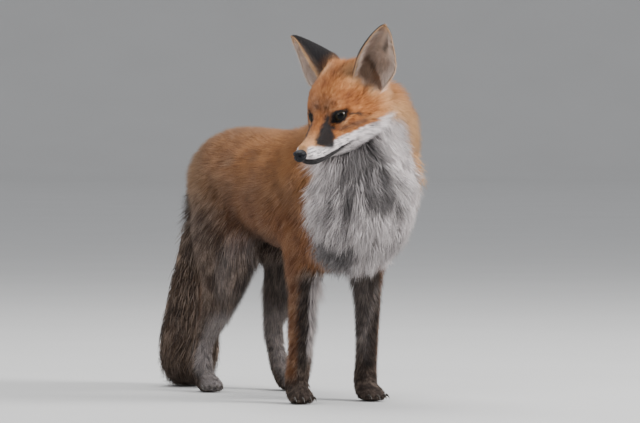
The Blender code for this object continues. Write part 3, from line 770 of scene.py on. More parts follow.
head_lie = head_flow(head_local, head_calm)
head_bend = bend_along(head_points, head_calm, head_edges, head_lie)
head_bend = evened(head_bend[:, None], head_edges, 10)[:, 0]
head_shades = head_marks(head_local)

# ------------------------------------------------------------------ the ears
# Each ear is a pointed cup of gristle, deep and open in front low down and flat at the tip, with a fold in
# its outer half. Black velvet lies behind it and long pale hair inside.

# Places up the left ear, in millimetres on the head: along its inner edge, its outer edge and its back ridge.
EAR_INNER = [(-36, 24, 30), (-39, 33, 48), (-41, 42, 64), (-46, 52, 78), (-53, 63, 90), (-59, 74, 99)]
EAR_OUTER = [(-58, 44, 6), (-61, 64, 22), (-67, 76, 36), (-69, 80, 54), (-68, 82, 72), (-66, 84, 89)]
EAR_RIDGE = [(-72, 14, 36), (-84, 28, 52), (-83, 40, 63), (-79, 51, 74), (-73, 63, 86), (-67, 75, 97)]
EAR_TIP = {1: (-62, 82, 103), -1: (-62, 78, 92)}
EAR_WALL = 1.7
EAR_STEPS, EAR_UP, EAR_ACROSS = 64, 61, 48  # rings up to the tip, rings kept, columns


def ear_leaf(side):
    """Half ellipses from the inner edge (v = -1) round the ridge (0) to the outer edge (1).

    Also v and the rise, which is -0.2 at the hidden foot, 0 where the ear leaves the fur and 1 at the tip.
    """
    lean = np.array(EAR_TIP[side]) - np.array(EAR_TIP[1])
    rise = np.linspace(0, 1, EAR_STEPS)[:, None]
    lines = (EAR_INNER, EAR_OUTER, EAR_RIDGE)
    lines = [curve_through([*line, EAR_TIP[1]], EAR_STEPS) + lean * rise**1.3 for line in lines]
    inner, outer, ridge = (line[:EAR_UP, None] for line in lines)
    v = np.sin(np.linspace(-math.pi / 2, math.pi / 2, EAR_ACROSS))[None, :, None]
    centre = (inner + outer) / 2
    leaf = centre + (outer - inner) / 2 * np.sin(math.pi / 2 * v) + (ridge - centre) * np.cos(math.pi / 2 * v)
    up_fold = (smoothstep(0.2, 0.4, rise) * smoothstep(0.9, 0.6, rise))[:EAR_UP, None]
    fold = 2.2 * np.exp(-(((v - 0.42) / 0.13) ** 2)) * up_fold
    return (leaf + unit(centre - ridge) * fold) * (1, side, 1), v[..., 0], (rise[:EAR_UP] * 6 - 1) / 5


def ear_shell(side):
    """Both faces of the leaf, thinning to its rim, as one closed grid: up the front and down the back."""
    leaf, v, rise = ear_leaf(side)
    v, rise = np.broadcast_arrays(v, rise)
    du, dv = np.gradient(leaf, axis=0), np.gradient(leaf, axis=1)
    normal = unit(np.cross(dv, du))
    opening = (leaf[:, 0] + leaf[:, -1]) / 2 - leaf[:, EAR_ACROSS // 2]
    normal *= np.sign(normal[EAR_UP // 2, EAR_ACROSS // 2] @ opening[EAR_UP // 2])
    thick = EAR_WALL * (0.25 + 0.75 * np.sqrt(np.clip(1 - v**2, 0, 1)))
    thick = thick * (0.35 + 0.65 * smoothstep(1.0, 0.8, rise))
    inner, outer = leaf + normal * (thick / 2)[..., None], leaf - normal * (thick / 2)[..., None]
    ring = np.concatenate([inner, outer[:, ::-1]], 1)
    points = on_head(np.vstack([ring.reshape(-1, 3), ring[0].mean(0), ring[-1].mean(0)]))
    triangles = facing_out(points - points.mean(0), tube_triangles(EAR_UP, 2 * EAR_ACROSS))
    within = np.concatenate([np.ones_like(v), -np.ones_like(v)], 1)
    across_v, up = np.concatenate([v, v[:, ::-1]], 1), np.concatenate([rise, rise], 1)
    facts = np.vstack([np.stack([within, across_v, up], -1).reshape(-1, 3), (0, 0, -0.2), (0, 0, 1.0)])
    ways = [np.concatenate([way, way[:, ::-1]], 1).reshape(-1, 3) for way in (du, dv)]
    ways = [unit(np.vstack([way, way[:1], way[-1:]])) @ HEAD_TURN for way in ways]
    return points, triangles, facts, ways


ears = {side: ear_shell(side) for side in (-1, 1)}


def ear_marks(facts):
    """Black behind; inside cream and white, with painted shade along the fold and a little deep in the cup.
    """
    within, v, rise = facts.T
    inside = smoothstep(-0.2, 0.2, within)
    rim = smoothstep(0.90, 0.975, np.abs(v))
    edge = np.maximum(smoothstep(-0.45, -0.80, v), smoothstep(0.62, 0.82, v))
    where = np.stack([v * 0.6, rise], 1)
    # painted shade along the fold and a little deep in the cup
    dark = near_segment(where, (0.31, 0.74), (0.17, 0.30), 0.034, 0.034, 0.075)
    dark = np.maximum(dark, 0.15 * smoothstep(0.0, -0.12, rise) * smoothstep(0.80, 0.45, np.abs(v)))
    foot = smoothstep(0.16, 0.0, rise)
    tip = smoothstep(0.82, 0.98, rise)
    back = (1 - inside) * smoothstep(1.02, 0.96, rise) * (1 - 0.15 * foot) * (1 - 0.8 * rim)
    black = np.maximum(back, 0.92 * inside * dark * (1 - 0.8 * edge))
    cream = np.maximum(inside, rim) * (0.95 - 0.35 * tip)
    grey = inside * (1 - edge) * 0.15
    white = inside * (0.50 + 0.08 * edge) * smoothstep(1.0, 0.60, rise)
    return np.stack([white, np.clip(black, 0, 1), grey, cream], 1)


# ------------------------------------------------------------------ the eyelids
# A thin black-rimmed lid wraps each eyeball and leaves an almond open, longer towards the nose. It is a strip
# of a sphere a little larger than the eye, rolled under at the rim.
LID_AROUND = 96
# How far each ring lies outside the opening, as angles, and outside the eyeball, in millimetres.
LID_OUT = (0.10, 0.0, -0.02, 0.02, 0.08, 0.18, 0.32, 0.52, 0.52, 0.35)
LID_PROUD = (-0.25, 0.12, 0.45, 0.75, 0.85, 0.80, 0.45, -0.2, -1.2, -1.2)


def almond(turn):
    """How far the opening reaches from the gaze, as an angle, at each turn from the inner corner."""
    high = np.where(np.sin(turn) > 0, LID_UPPER, LID_LOWER)
    along = LID_LONG * np.cos(turn)
    tall = high * np.sin(turn) * (1 - 0.25 * np.cos(turn) ** 2)
    flat = np.hypot(along, tall)
    return np.arcsin(np.clip(flat / EYE_RADIUS, 0, 0.97)), np.arctan2(tall, along)


def lid_shell(side):
    """Rings out from the almond: under the rim, over it, along the sphere and down into the socket."""
    centre, gaze, inner, up = eye_axes(side)
    reach, turn = almond(np.linspace(0, math.tau, LID_AROUND, endpoint=False))
    out, proud = np.array(LID_OUT), np.array(LID_PROUD)
    angle = reach + out[:, None]
    radius = EYE_RADIUS + proud[:, None]
    flat = np.cos(turn)[:, None] * inner + np.sin(turn)[:, None] * up
    ring = centre + radius[..., None] * (np.cos(angle)[..., None] * gaze + np.sin(angle)[..., None] * flat)
    triangles = grid_triangles(len(out), LID_AROUND, wrap=True)
    points = on_head(ring.reshape(-1, 3))
    rim = np.repeat(np.clip(1 - out / 0.45, 0, 1), LID_AROUND)
    marks = head_marks(ring.reshape(-1, 3))
    marks[:, 1] = np.maximum(marks[:, 1], rim)
    marks[:, 0] *= 1 - rim
    outward = np.repeat(np.clip(out, 0, 1) * (proud > -0.3), LID_AROUND)
    return points, facing_out(points - points.mean(0), triangles), marks, outward


lids = {side: lid_shell(side) for side in (-1, 1)}


# ------------------------------------------------------------------ the hide's finish
# Hide and hair are coloured by the same shares of white, black, grey and cream over rust, kept as an
# attribute. On the hide a fine bump stands for the underfur; it is seen only where the coat is thin.
class Wire:
    """A socket of a shader that can be added, taken from a number and multiplied."""

    def __init__(self, tree, socket=None):
        self.tree = tree
        self.socket = socket

    def node(self, kind, settings=None, sockets=None, out=0):
        """A node of that kind: first its settings, then a value or a wire for each of its sockets."""
        made = self.tree.nodes.new("ShaderNode" + kind)
        for name, value in (settings or {}).items():
            setattr(made, name, value)
        for name, value in (sockets or {}).items():
            if isinstance(value, Wire):
                self.tree.links.new(value.socket, made.inputs[name])
            else:
                made.inputs[name].default_value = value
        return Wire(self.tree, made.outputs[out])

    def parts(self, kind, socket, count):
        """The first outputs of a node that takes this apart."""
        made = self.node(kind, sockets={socket: self}).socket.node
        return [Wire(self.tree, made.outputs[k]) for k in range(count)]

    def maths(self, operation, first, second):
        """The wire that carries the result of the operation on two wires or numbers."""
        return self.node("Math", {"operation": operation}, {0: first, 1: second})

    def __add__(self, other):
        return self.maths("ADD", self, other)

    def __rsub__(self, other):
        return self.maths("SUBTRACT", other, self)

    def __mul__(self, other):
        return self.maths("MULTIPLY", self, other)

    def between(self, low, high):
        """0 below low and 1 above high, smooth between them; it falls where low is the larger."""
        ramp = {"interpolation_type": "SMOOTHSTEP", "clamp": True}
        if low < high:
            return self.node("MapRange", ramp, {"Value": self, "From Min": low, "From Max": high})
        falling = {"Value": self, "From Min": high, "From Max": low, "To Min": 1.0, "To Max": 0.0}
        return self.node("MapRange", ramp, falling)

    def blend(self, first, second):
        """The colour first where this is 0 and second where it is 1."""
        first, second = (c if isinstance(c, Wire) else (*c, 1) for c in (first, second))
        return self.node("Mix", {"data_type": "RGBA"}, {0: self, 6: first, 7: second}, 2)

    def darken(self, colour, least):
        """The colour multiplied by a value from least, where this is 0, up to 1."""
        grey = self.blend((least, least, least), (1, 1, 1))
        multiply = {"data_type": "RGBA", "blend_type": "MULTIPLY"}
        return self.node("Mix", multiply, {0: 1.0, 6: colour, 7: grey}, 2)

    __radd__ = __add__
    __rmul__ = __mul__


def new_material(name, settings):
    """A material, its Principled shader with plain values set, and a wire to start from."""
    made = bpy.data.materials.new(name)
    made.use_nodes = True
    shader = made.node_tree.nodes["Principled BSDF"]
    for socket, value in settings.items():
        shader.inputs[socket].default_value = value
    return made, shader, Wire(made.node_tree)


def feed(shader, wire, socket):
    """Lead the wire into that socket of the shader."""
    wire.tree.links.new(wire.socket, shader.inputs[socket])


RUST_DEEP, RUST, RUST_LIGHT = (0.165, 0.050, 0.014), (0.37, 0.132, 0.036), (0.57, 0.265, 0.095)
WHITE_SHADE, WHITE_FUR, SLATE_FUR = (0.50, 0.452, 0.455), (0.98, 0.905, 0.900), (0.060, 0.055, 0.057)
GRIZZLE_DARK, GRIZZLE_MID, GRIZZLE_PALE = (0.050, 0.036, 0.030), (0.155, 0.105, 0.080), (0.46, 0.35, 0.28)
CREAM_FUR = (0.84, 0.51, 0.26)
BLACK_FUR = (0.012, 0.011, 0.012)


def coat_colour(start):
    """Rust, then grizzle, cream, white and black laid over it by their shares; roots are darker than tips.

    A grizzled hair is dark at its root and tip and pale in a band below the tip.
    """
    marks = start.node("Attribute", {"attribute_name": "marks"}, out=0)
    cream = start.node("Attribute", {"attribute_name": "marks"}, out=3)
    white, black, grey = marks.parts("SeparateColor", "Color", 3)
    hair = start.node("Attribute", {"attribute_name": "hair"}, out=1)
    along, chance, lock = hair.parts("SeparateXYZ", "Vector", 3)
    place = start.node("TexCoord", out=3)
    broad = start.node("TexNoise", sockets={"Vector": place, "Scale": 38.0, "Detail": 3.0, "Roughness": 0.6})
    tone = chance * 0.32 + broad.between(0.3, 0.7) * 0.38 + lock * 0.36
    colour = tone.between(0.15, 0.55).blend(RUST_DEEP, RUST)
    colour = tone.between(0.50, 1.0).blend(colour, RUST_LIGHT)
    band = along.between(0.35, 0.6) * along.between(0.97, 0.80)
    grizzle = (chance * 0.35 + lock * 0.40 + along * 0.25).between(0.2, 0.8)
    grizzle = grizzle.blend(GRIZZLE_DARK, GRIZZLE_MID)
    grizzle = (band * (chance * 0.5 + lock * 0.5).between(0.35, 0.8)).blend(grizzle, GRIZZLE_PALE)
    colour = grey.blend(colour, grizzle)
    colour = (cream * (0.75 + 0.25 * chance)).blend(colour, CREAM_FUR)
    pale = (chance * 0.4 + along * 0.5 + lock * 0.5).between(0.20, 0.95)
    pale = pale.blend(WHITE_SHADE, WHITE_FUR)
    pale = (lock.between(0.30, 0.06) * along.between(1.0, 0.6) * 0.45).blend(pale, SLATE_FUR)
    colour = white.blend(colour, pale)
    colour = black.blend(colour, BLACK_FUR)
    return along.between(-0.15, 0.62).darken(colour, 0.42), along


def add_attributes(mesh, marks, hair):
    """The shares of each marking as a colour, and place along the hair, chance and lock as a vector."""
    shades = mesh.attributes.new("marks", "FLOAT_COLOR", "POINT")
    shades.data.foreach_set("color", np.ascontiguousarray(marks, np.float32).ravel())
    strands = mesh.attributes.new("hair", "FLOAT_VECTOR", "POINT")
    strands.data.foreach_set("vector", np.ascontiguousarray(hair, np.float32).ravel())


def mesh_object(name, points, triangles, finish):
    """A smooth-shaded object from arrays of corners and triangles."""
    mesh = bpy.data.meshes.new(name)
    mesh.vertices.add(len(points))
    mesh.vertices.foreach_set("co", np.ascontiguousarray(points, np.float32).ravel())
    mesh.loops.add(triangles.size)
    mesh.loops.foreach_set("vertex_index", np.ascontiguousarray(triangles, np.int32).ravel())
    mesh.polygons.add(len(triangles))
    mesh.polygons.foreach_set("loop_start", np.arange(0, triangles.size, 3, dtype=np.int32))
    mesh.polygons.foreach_set("use_smooth", np.ones(len(triangles), bool))
    mesh.update(calc_edges=True)
    mesh.materials.append(finish)
    made = bpy.data.objects.new(name, mesh)
    bpy.context.scene.collection.objects.link(made)
    return made


hide_finish, shader, start = new_material("hide", {"Roughness": 0.85, "Specular IOR Level": 0.12})
feed(shader, coat_colour(start)[0], "Base Color")
down_place = start.node("TexCoord", out=3)
down = start.node("TexNoise", sockets={"Vector": down_place, "Scale": 900.0, "Detail": 4.0, "Roughness": 0.7})
feed(shader, start.node("Bump", sockets={"Strength": 0.6, "Distance": 0.0012, "Height": down}), "Normal")


def hide_hair(points):
    """The hide's stand-ins for a hair's place and chance: low on the hair, and a smooth random chance."""
    chance = 0.5 + 0.35 * waves(points, 0.012, 5)
    return np.stack([np.full(len(points), 0.38), np.clip(chance, 0, 1), np.full(len(points), 0.5)], 1)


shells = [(hide, hide_triangles, hide_marks), (head_points, head_triangles, head_shades)]
shells += [(ear[0], ear[1], ear_marks(ear[2])) for ear in ears.values()]
shells += [lid[:3] for lid in lids.values()]
offsets = np.cumsum([0] + [len(shell[0]) for shell in shells])
all_points = np.concatenate([shell[0] for shell in shells])
all_triangles = np.concatenate([shell[1] + offset for shell, offset in zip(shells, offsets)])
skin = mesh_object("skin", all_points, all_triangles, hide_finish)
add_attributes(skin.data, np.concatenate([shell[2] for shell in shells]), hide_hair(all_points))
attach(skin, "root")
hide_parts("head", "ear_left", "ear_right", *FLESH)


# ------------------------------------------------------------------ the eyes
# Glossy dark eyeballs: a black pupil, a narrow olive-brown iris with fine spokes, and a clear wet cornea that
# bulges a little. The grid's pole lies on the gaze, so the map's second value is the angle from it.
EYE_RINGS, EYE_ROUND = 64, 72
EYE_BULGE = 0.5
wet = {"Coat Weight": 0.50, "Coat Roughness": 0.02, "Coat IOR": 1.34}
eye_finish, shader, start = new_material("eye", {"Roughness": 0.45, "Specular IOR Level": 0.0, **wet})
polar = start.node("UVMap", {"uv_map": "gaze"}, out=0)
spin, drop = polar.parts("SeparateXYZ", "Vector", 2)
spoke_place = start.node("CombineXYZ", sockets={0: spin * 60.0, 1: drop * 6.0, 2: 0.0})
spokes = start.node("TexNoise", sockets={"Vector": spoke_place, "Scale": 1.4, "Detail": 3.0})
iris = spokes.between(0.3, 0.72).blend((0.009, 0.0075, 0.0045), (0.036, 0.029, 0.017))
iris = drop.between(0.20, 0.27).blend(iris, (0.010, 0.008, 0.004))
colour = drop.between(0.120, 0.135).blend((0.001, 0.001, 0.0015), iris)
colour = drop.between(0.25, 0.28).blend(colour, (0.003, 0.0025, 0.0025))
feed(shader, colour, "Base Color")


def eye_shell(side):
    """A sphere whose front bulges over the iris by exp(-(angle / 0.62)⁴), with its pole on the gaze."""
    centre, gaze, inner, up = eye_axes(side)
    drop = np.linspace(0, math.pi, EYE_RINGS + 2)[1:-1]
    turn = np.linspace(0, math.tau, EYE_ROUND, endpoint=False)
    radius = EYE_RADIUS + EYE_BULGE * np.exp(-((drop / 0.62) ** 4))
    flat = np.cos(turn)[:, None] * inner + np.sin(turn)[:, None] * up
    ring = centre + radius[:, None, None] * (
        np.cos(drop)[:, None, None] * gaze + np.sin(drop)[:, None, None] * flat[None]
    )
    poles = np.stack([centre + gaze * (EYE_RADIUS + EYE_BULGE), centre - gaze * EYE_RADIUS])
    points = on_head(np.vstack([ring.reshape(-1, 3), poles]))
    return points, drop, turn


for side, word in ((1, "left"), (-1, "right")):
    points, drop_at, turn_at = eye_shell(side)
    triangles = facing_out(points - points.mean(0), tube_triangles(EYE_RINGS, EYE_ROUND))
    ball = mesh_object(f"eyeball_{word}", points, triangles, eye_finish)
    around = np.append(np.tile(turn_at / math.tau, EYE_RINGS), [0, 0])
    away = np.append(np.repeat(drop_at / math.pi, EYE_ROUND), [0, 1])
    pair = np.stack([around, away], 1)[triangles]
    wraps = pair[..., 0].max(1) - pair[..., 0].min(1) > 0.5
    pair[wraps, :, 0] = np.where(pair[wraps, :, 0] < 0.5, pair[wraps, :, 0] + 1, pair[wraps, :, 0])
    ball.data.uv_layers.new(name="gaze").data.foreach_set("uv", pair.reshape(-1).astype(np.float32))
    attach(ball, "root")
    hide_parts(f"eye_{word}")

# ------------------------------------------------------------------ the nose
# A pad of moist black leather, squared in front, with a comma-shaped nostril on each side and a groove down
# its middle. Its surface is pebbled.
NOSE_RINGS, NOSE_ROUND = 90, 120
NOSE_MIDDLE = (69.4, 0, -28.8)
NOSE_HILLS = (
    (-3.4, (76.0, 4.7, -26.8), (4.0, 1.9, 2.1)),  # the nostril
    (-2.6, (72.5, 8.2, -27.8), (3.6, 2.6, 1.1)),  # its slit towards the side
    (0.7, (74.5, 6.2, -23.6), (3.5, 3.5, 1.6)),  # the rim above it
)
nose_finish, shader, start = new_material("nose_leather", {"Specular IOR Level": 0.20})
grain_place = start.node("TexCoord", out=3)
pebbles = start.node("TexVoronoi", sockets={"Vector": grain_place, "Scale": 1500.0, "Randomness": 0.9})
fine = start.node("TexNoise", sockets={"Vector": grain_place, "Scale": 2600.0, "Detail": 2.0})
feed(shader, fine.between(0.3, 0.7) * 0.20 + 0.34, "Roughness")
leather = pebbles.between(0.0, 0.7).blend((0.003, 0.0034, 0.0045), (0.008, 0.009, 0.012))
feed(shader, leather, "Base Color")
relief = {"Strength": 0.7, "Distance": 0.0003, "Height": 1 - pebbles}
feed(shader, start.node("Bump", sockets=relief), "Normal")


def nose_shell():
    """A ball about the pad's middle, wider above and flatter in front, dented for nostrils and groove."""
    drop = np.linspace(0, math.pi, NOSE_RINGS + 2)[1:-1][:, None]
    turn = np.linspace(0, math.tau, NOSE_ROUND, endpoint=False)[None]
    x, y, z = np.cos(drop) + 0 * turn, np.sin(drop) * np.cos(turn), np.sin(drop) * np.sin(turn)
    x = np.sign(x) * np.abs(x) ** 0.8
    local = np.stack([8.4 * x, (8.8 + 1.4 * z) * y, 8.0 * z], -1) + NOSE_MIDDLE
    outward = unit(local - np.array(NOSE_MIDDLE))
    push = both_sides(local, NOSE_HILLS) - 0.9 * spot(local, (77.0, 0, -31.5), (4.0, 0.7, 4.2))
    local = local + outward * push[..., None]
    front, back = local[0].mean(0), local[-1].mean(0)
    poles = np.array([[front[0], 0, front[2]], [back[0], 0, -28.6]])
    return on_head(np.vstack([local.reshape(-1, 3), poles]))


nose_points = nose_shell()
nose_triangles = facing_out(nose_points - nose_points.mean(0), tube_triangles(NOSE_RINGS, NOSE_ROUND))
nose_pad = mesh_object("nose_pad", nose_points, nose_triangles, nose_finish)
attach(nose_pad, "root")
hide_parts("nose")

# ------------------------------------------------------------------ the coat
# The coat is about 340,000 thin solid tufts, three-sided and pointed. Each leaves the hide at its root,
# rises to the coat's depth and lies back along the flow, drawn towards the others of its lock.
coat_finish, shader, start = new_material("coat", {"Roughness": 0.62, "Specular IOR Level": 0.28})
fur_colour, fur_along = coat_colour(start)
feed(shader, fur_colour, "Base Color")
feed(shader, 0.86 - 0.24 * fur_along, "Roughness")


def shell_facts(points, triangles, normals, flow, bend, depth, hair, marks, map_at):
    """A surface that tufts grow from, by name; marks may be a function of places and normals."""
    names = ("points", "triangles", "normals", "flow", "bend", "depth", "hair", "marks", "map_at")
    return dict(zip(names, (points, triangles, normals, flow, bend, depth, hair, marks, map_at)))


def roots_on(shell, share, count, draw):
    """Random places on the triangles, spread evenly by area times share: triangle numbers and weights."""
    a, b, c = (shell["points"][shell["triangles"][:, k]] for k in range(3))
    area = np.linalg.norm(np.cross(b - a, c - a), axis=1) * share[shell["triangles"]].mean(1)
    total = np.cumsum(area)
    picks = np.searchsorted(total, (np.arange(count) + draw.random(count)) / count * total[-1])
    picks = np.minimum(picks, len(area) - 1)
    u, v = np.sqrt(draw.random(count)), draw.random(count)
    return shell["triangles"][picks], np.stack([1 - u, u * (1 - v), u * v], 1)


def locks_of(points, size, seed):
    """The mean place of the tufts that share a lock: cells of that size, made uneven by waves."""
    warped = points + size * 0.45 * np.stack([waves(points, size * 3.1, seed + k) for k in range(3)], 1)
    cell = np.floor(warped / size).astype(np.int64)
    _, owner = np.unique(cell @ np.array([1, 100003, 10000600009]), return_inverse=True)
    many = np.bincount(owner)
    centre = np.stack([np.bincount(owner, column) / many for column in points.T], 1)
    return centre[owner], owner


TUFT_SIDE = np.array([(-0.5, 0.0), (0.5, 0.0), (0.0, 0.42)])  # a tuft's section: share of its width, and up
TUFT_TAPER = np.array([1.0, 0.82, 0.5, 0.3])  # its width at each ring, as a share
ROOT_SUNK = 0.0012  # how deep a root stands in the hide


def tuft_triangles(rings):
    """Three walls from ring to ring, two triangles each, then the point and the foot."""
    low = np.arange(rings - 1)[:, None] * 3 + np.arange(3)
    turn = np.arange(rings - 1)[:, None] * 3 + (np.arange(3) + 1) % 3
    walls = np.concatenate([np.stack([low, turn, turn + 3], -1), np.stack([low, turn + 3, low + 3], -1)], 1)
    point = (rings - 1) * 3 + np.array([(0, 1, 3), (1, 2, 3), (2, 0, 3)])
    return np.concatenate([walls.reshape(-1, 3), point, [(0, 2, 1)]])


def repeated(sets, pattern):
    """The triangles of many like shells, given the points of each and the triangles of one."""
    pattern = facing_out(sets[0] - sets[0].mean(0), pattern)
    firsts = np.arange(len(sets)) * sets.shape[1]
    return (pattern[None] + firsts[:, None, None]).reshape(-1, 3)


def grow(
    name, shell, share, count, width, lock=0.010, draw_in=0.5, stray=0.16, rings=2, tousle=0.0, seed=1
):
    """One piece of coat.

    A tuft's spine at t from 0 to 1 is root + flow·L·t + normal·(rise·(1 - (1 - t)^1.7) - bend·(L·t)²/2).
    The flow is swung sideways by a slow wave and a random angle, and the spine is drawn towards the middle
    of its lock by draw_in·t².
    """
    draw = np.random.default_rng(seed)
    corners, weights = roots_on(shell, share, count, draw)

    def read(values):
        """The values of the shell at the roots, mixed from the corners of their triangles."""
        return (values[corners] * weights.reshape(count, 3, *[1] * (values.ndim - 1))).sum(1)

    def flat_on(arrows):
        """The part of the arrows that lies in the surface."""
        return arrows - normal * (arrows * normal).sum(1, keepdims=True)

    root, normal, flow = read(shell["points"]), unit(read(shell["normals"])), read(shell["flow"])
    length = read(shell["hair"]) * draw.uniform(0.70, 1.18, count)
    rise = read(shell["depth"]) * draw.uniform(0.62, 1.08, count)
    bend = np.clip(read(shell["bend"]), -0.25 / length, 0.70 / length)
    flow = unit(flat_on(flow))
    centre, owner = locks_of(root, lock, seed)
    pull = flat_on(centre - root) * draw_in
    chance_of_lock = draw.random(owner.max() + 1)[owner]
    swing = stray * (1.2 * waves(root, 0.045, seed + 70) + draw.normal(size=count) * 0.8)
    swing = swing + tousle * (draw.random(owner.max() + 1)[owner] - 0.5)
    cross = np.cross(normal, flow)
    flow = flow * np.cos(swing)[:, None] + cross * np.sin(swing)[:, None]
    t = (np.linspace(0, 1, rings + 1) ** 0.85)[None, :, None]
    gone = length[:, None, None] * t
    up = rise[:, None, None] * (1 - (1 - t) ** 1.7) - bend[:, None, None] * gone**2 / 2
    up = up - ROOT_SUNK * (1 - t) ** 4
    spine = root[:, None] + flow[:, None] * gone + normal[:, None] * up + pull[:, None] * t**2
    along = unit(np.gradient(spine, axis=1))
    top = unit(normal[:, None] - along * (normal[:, None] * along).sum(-1, keepdims=True))
    side = np.cross(along, top)
    wide = width * draw.uniform(0.7, 1.3, count)[:, None] * TUFT_TAPER[None, :rings]
    section = TUFT_SIDE[None, None] * wide[:, :, None, None]
    body = spine[:, :rings, None] + side[:, :rings, None] * section[..., 0:1]
    body = body + top[:, :rings, None] * section[..., 1:2]
    points = np.concatenate([body.reshape(count, rings * 3, 3), spine[:, -1:]], 1)
    points[..., 2] = np.maximum(points[..., 2], LOWEST_HAIR)
    triangles = repeated(points, tuft_triangles(rings))
    piece = mesh_object(name, points.reshape(-1, 3), triangles, coat_finish)
    seen = root + flow * (0.55 * length)[:, None] + normal * (0.8 * rise)[:, None]
    marks = shell["marks"](seen, normal) if callable(shell["marks"]) else read(shell["marks"])
    marks = np.clip(marks + draw.normal(size=(count, 4)) * 0.05 * (marks > 0.02), 0, 1)
    place = np.append(np.repeat(t[0, :rings, 0], 3), 1.0)
    chances = np.stack([draw.random(count), chance_of_lock], 1)
    hair = np.column_stack([np.tile(place, count), np.repeat(chances, len(place), 0)])
    add_attributes(piece.data, np.repeat(marks, len(place), 0), hair)
    patch = np.stack([np.append(np.tile([-0.5, 0.5, 0.0], rings), 0.0), place - 0.5], 1) * 0.003
    spots = shell["map_at"][corners[:, 0]][:, None] + patch[None]
    layer = piece.data.uv_layers.new(name="OFBake")
    layer.data.foreach_set("uv", spots.reshape(-1, 2)[triangles.ravel()].astype(np.float32).ravel())
    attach(piece, "root")
    return piece


def map_round_lines(points, nearest):
    """Round its line across the map and along the line up it, with each line in its own tile."""
    away = points - line_at[nearest]
    towards = line_to[nearest]
    first = np.where(np.abs(towards[:, 2:3]) > 0.7, [[0.0, 1.0, 0.0]], [[0.0, 0.0, 1.0]])
    first = unit(first - towards * (first * towards).sum(1, keepdims=True))
    second = np.cross(towards, first)
    turn = np.arctan2((away * second).sum(1), (away * first).sum(1)) / math.tau + 0.5
    owner = line_owner[nearest]
    tile = np.stack([owner % 3, owner // 3], 1)
    return (tile + 0.02 + 0.96 * np.stack([turn, np.clip(line_gone[nearest], 0, 1)], 1)) / 3


fore_right = line_owner[hide_near] == line_names.index("front_right")
shin = fore_right * smoothstep(0.035, 0.060, hide[:, 2]) * smoothstep(0.140, 0.105, hide[:, 2])
fringe = fore_right * smoothstep(0.1, 0.6, calm_normals[:, 0]) * smoothstep(0.09, 0.13, hide[:, 2])
body_shell = shell_facts(
    hide,
    hide_triangles,
    calm_normals,
    hide_flow,
    hide_bend,
    hide_depth * (1 + 0.7 * shin + 0.8 * fringe),
    hide_coat[:, 2] * (1 + 0.2 * shin + 0.3 * fringe),
    body_marks,
    map_round_lines(hide, hide_near),
)
hide_owner = line_owner[hide_near]
bare_sole = smoothstep(0.0010, 0.0030, hide[:, 2])


def owned(*names):
    """1 on the hide nearest to any of those lines."""
    return np.isin(hide_owner, [line_names.index(n) for n in names]).astype(float)


legs_all = owned("front_left", "front_right", "hind_left", "hind_right")
front_legs = owned("front_left", "front_right")
lower_leg = legs_all * (hide[:, 2] < 0.150)
upper_leg = legs_all * (hide[:, 2] >= 0.150)
hide_on_head = from_head(hide)
inside_head = within_head(hide_on_head, head_coat(hide_on_head)[0]) < 0.85
inside_head &= np.abs(hide_on_head[:, 0] + 11) < 87
inside_head |= in_skull[:, 0] > 0.6
free = (~inside_head).astype(float)
trunk_share = owned("back") * free
for place, half, seed in (("right", hide[:, 0] < BODY_X, 11), ("left", hide[:, 0] >= BODY_X, 12)):
    share = trunk_share * half
    grow(f"coat_side_{place}", body_shell, share, 29500, 0.00078, rings=1, seed=seed)
grow("coat_neck", body_shell, owned("nape") * free, 24000, 0.00072, lock=0.012, rings=1, seed=13)
low_ruff = smoothstep(0.375, 0.315, hide[:, 2])
grow(
    "coat_ruff", body_shell, owned("ruff") * free * low_ruff, 12000, 0.00108,
    lock=0.015, draw_in=0.85, stray=0.16, tousle=0.55, seed=14,
)
grow(
    "coat_throat", body_shell, owned("ruff") * free * (1.0 - 0.75 * low_ruff), 20500, 0.00070,
    lock=0.013, draw_in=0.8, stray=0.18, rings=1, tousle=0.5, seed=20,
)
grow("coat_thighs", body_shell, upper_leg * (1 - front_legs), 24000, 0.00075, rings=1, seed=15)
grow("coat_shoulders", body_shell, upper_leg * front_legs, 15000, 0.00075, rings=1, seed=16)
leg_density = lower_leg * bare_sole * (1 + 1.2 * smoothstep(0.06, 0.03, hide[:, 2]))
for place, half, seed in (("forelegs", front_legs, 17), ("hindlegs", 1 - front_legs, 18)):
    share = leg_density * half
    grow(f"coat_{place}", body_shell, share, 21000, 0.00080, lock=0.006, rings=1, seed=seed)
grow("coat_brush", body_shell, owned("tail"), 12500, 0.00123, lock=0.013, draw_in=0.6, seed=19)

# ------------------------------------------------------------------ the coat of the head
# Very short fine hair on the muzzle and round the eyes, longer on forehead and crown, and long cheek tufts
# that sweep back over the ruff. Lips, nose pad and the rims of the lids stay bare.
head_depth, head_hair = (values / 1000 for values in head_coat(head_local))
ring_at = np.append(np.repeat(np.linspace(0, 1, HEAD_RINGS), HEAD_AROUND), [0, 1])
turn_at = np.append(np.tile(np.linspace(0, 1, HEAD_AROUND, endpoint=False), HEAD_RINGS), [0, 0])
head_shell = shell_facts(
    head_points,
    head_triangles,
    head_calm,
    head_lie,
    head_bend,
    head_depth,
    head_hair,
    lambda points, normals: head_marks(from_head(points)),
    np.stack([turn_at, ring_at], 1),
)
bare = spot(head_local, (69, 0, -27.5), (11, 11, 9)) > 0.36
bare |= (np.abs(head_local[:, 2] - mouth_height(head_local[:, 0])) < 0.9) & (head_local[:, 0] > 2)
for side in (-1, 1):
    centre, gaze, inner, up = eye_axes(side)
    away = head_local - centre
    opening = (away @ inner / (LID_LONG + 0.8)) ** 2 + (away @ up / (LID_UPPER + 0.6)) ** 2 < 1
    bare |= opening & (away @ gaze > 0)
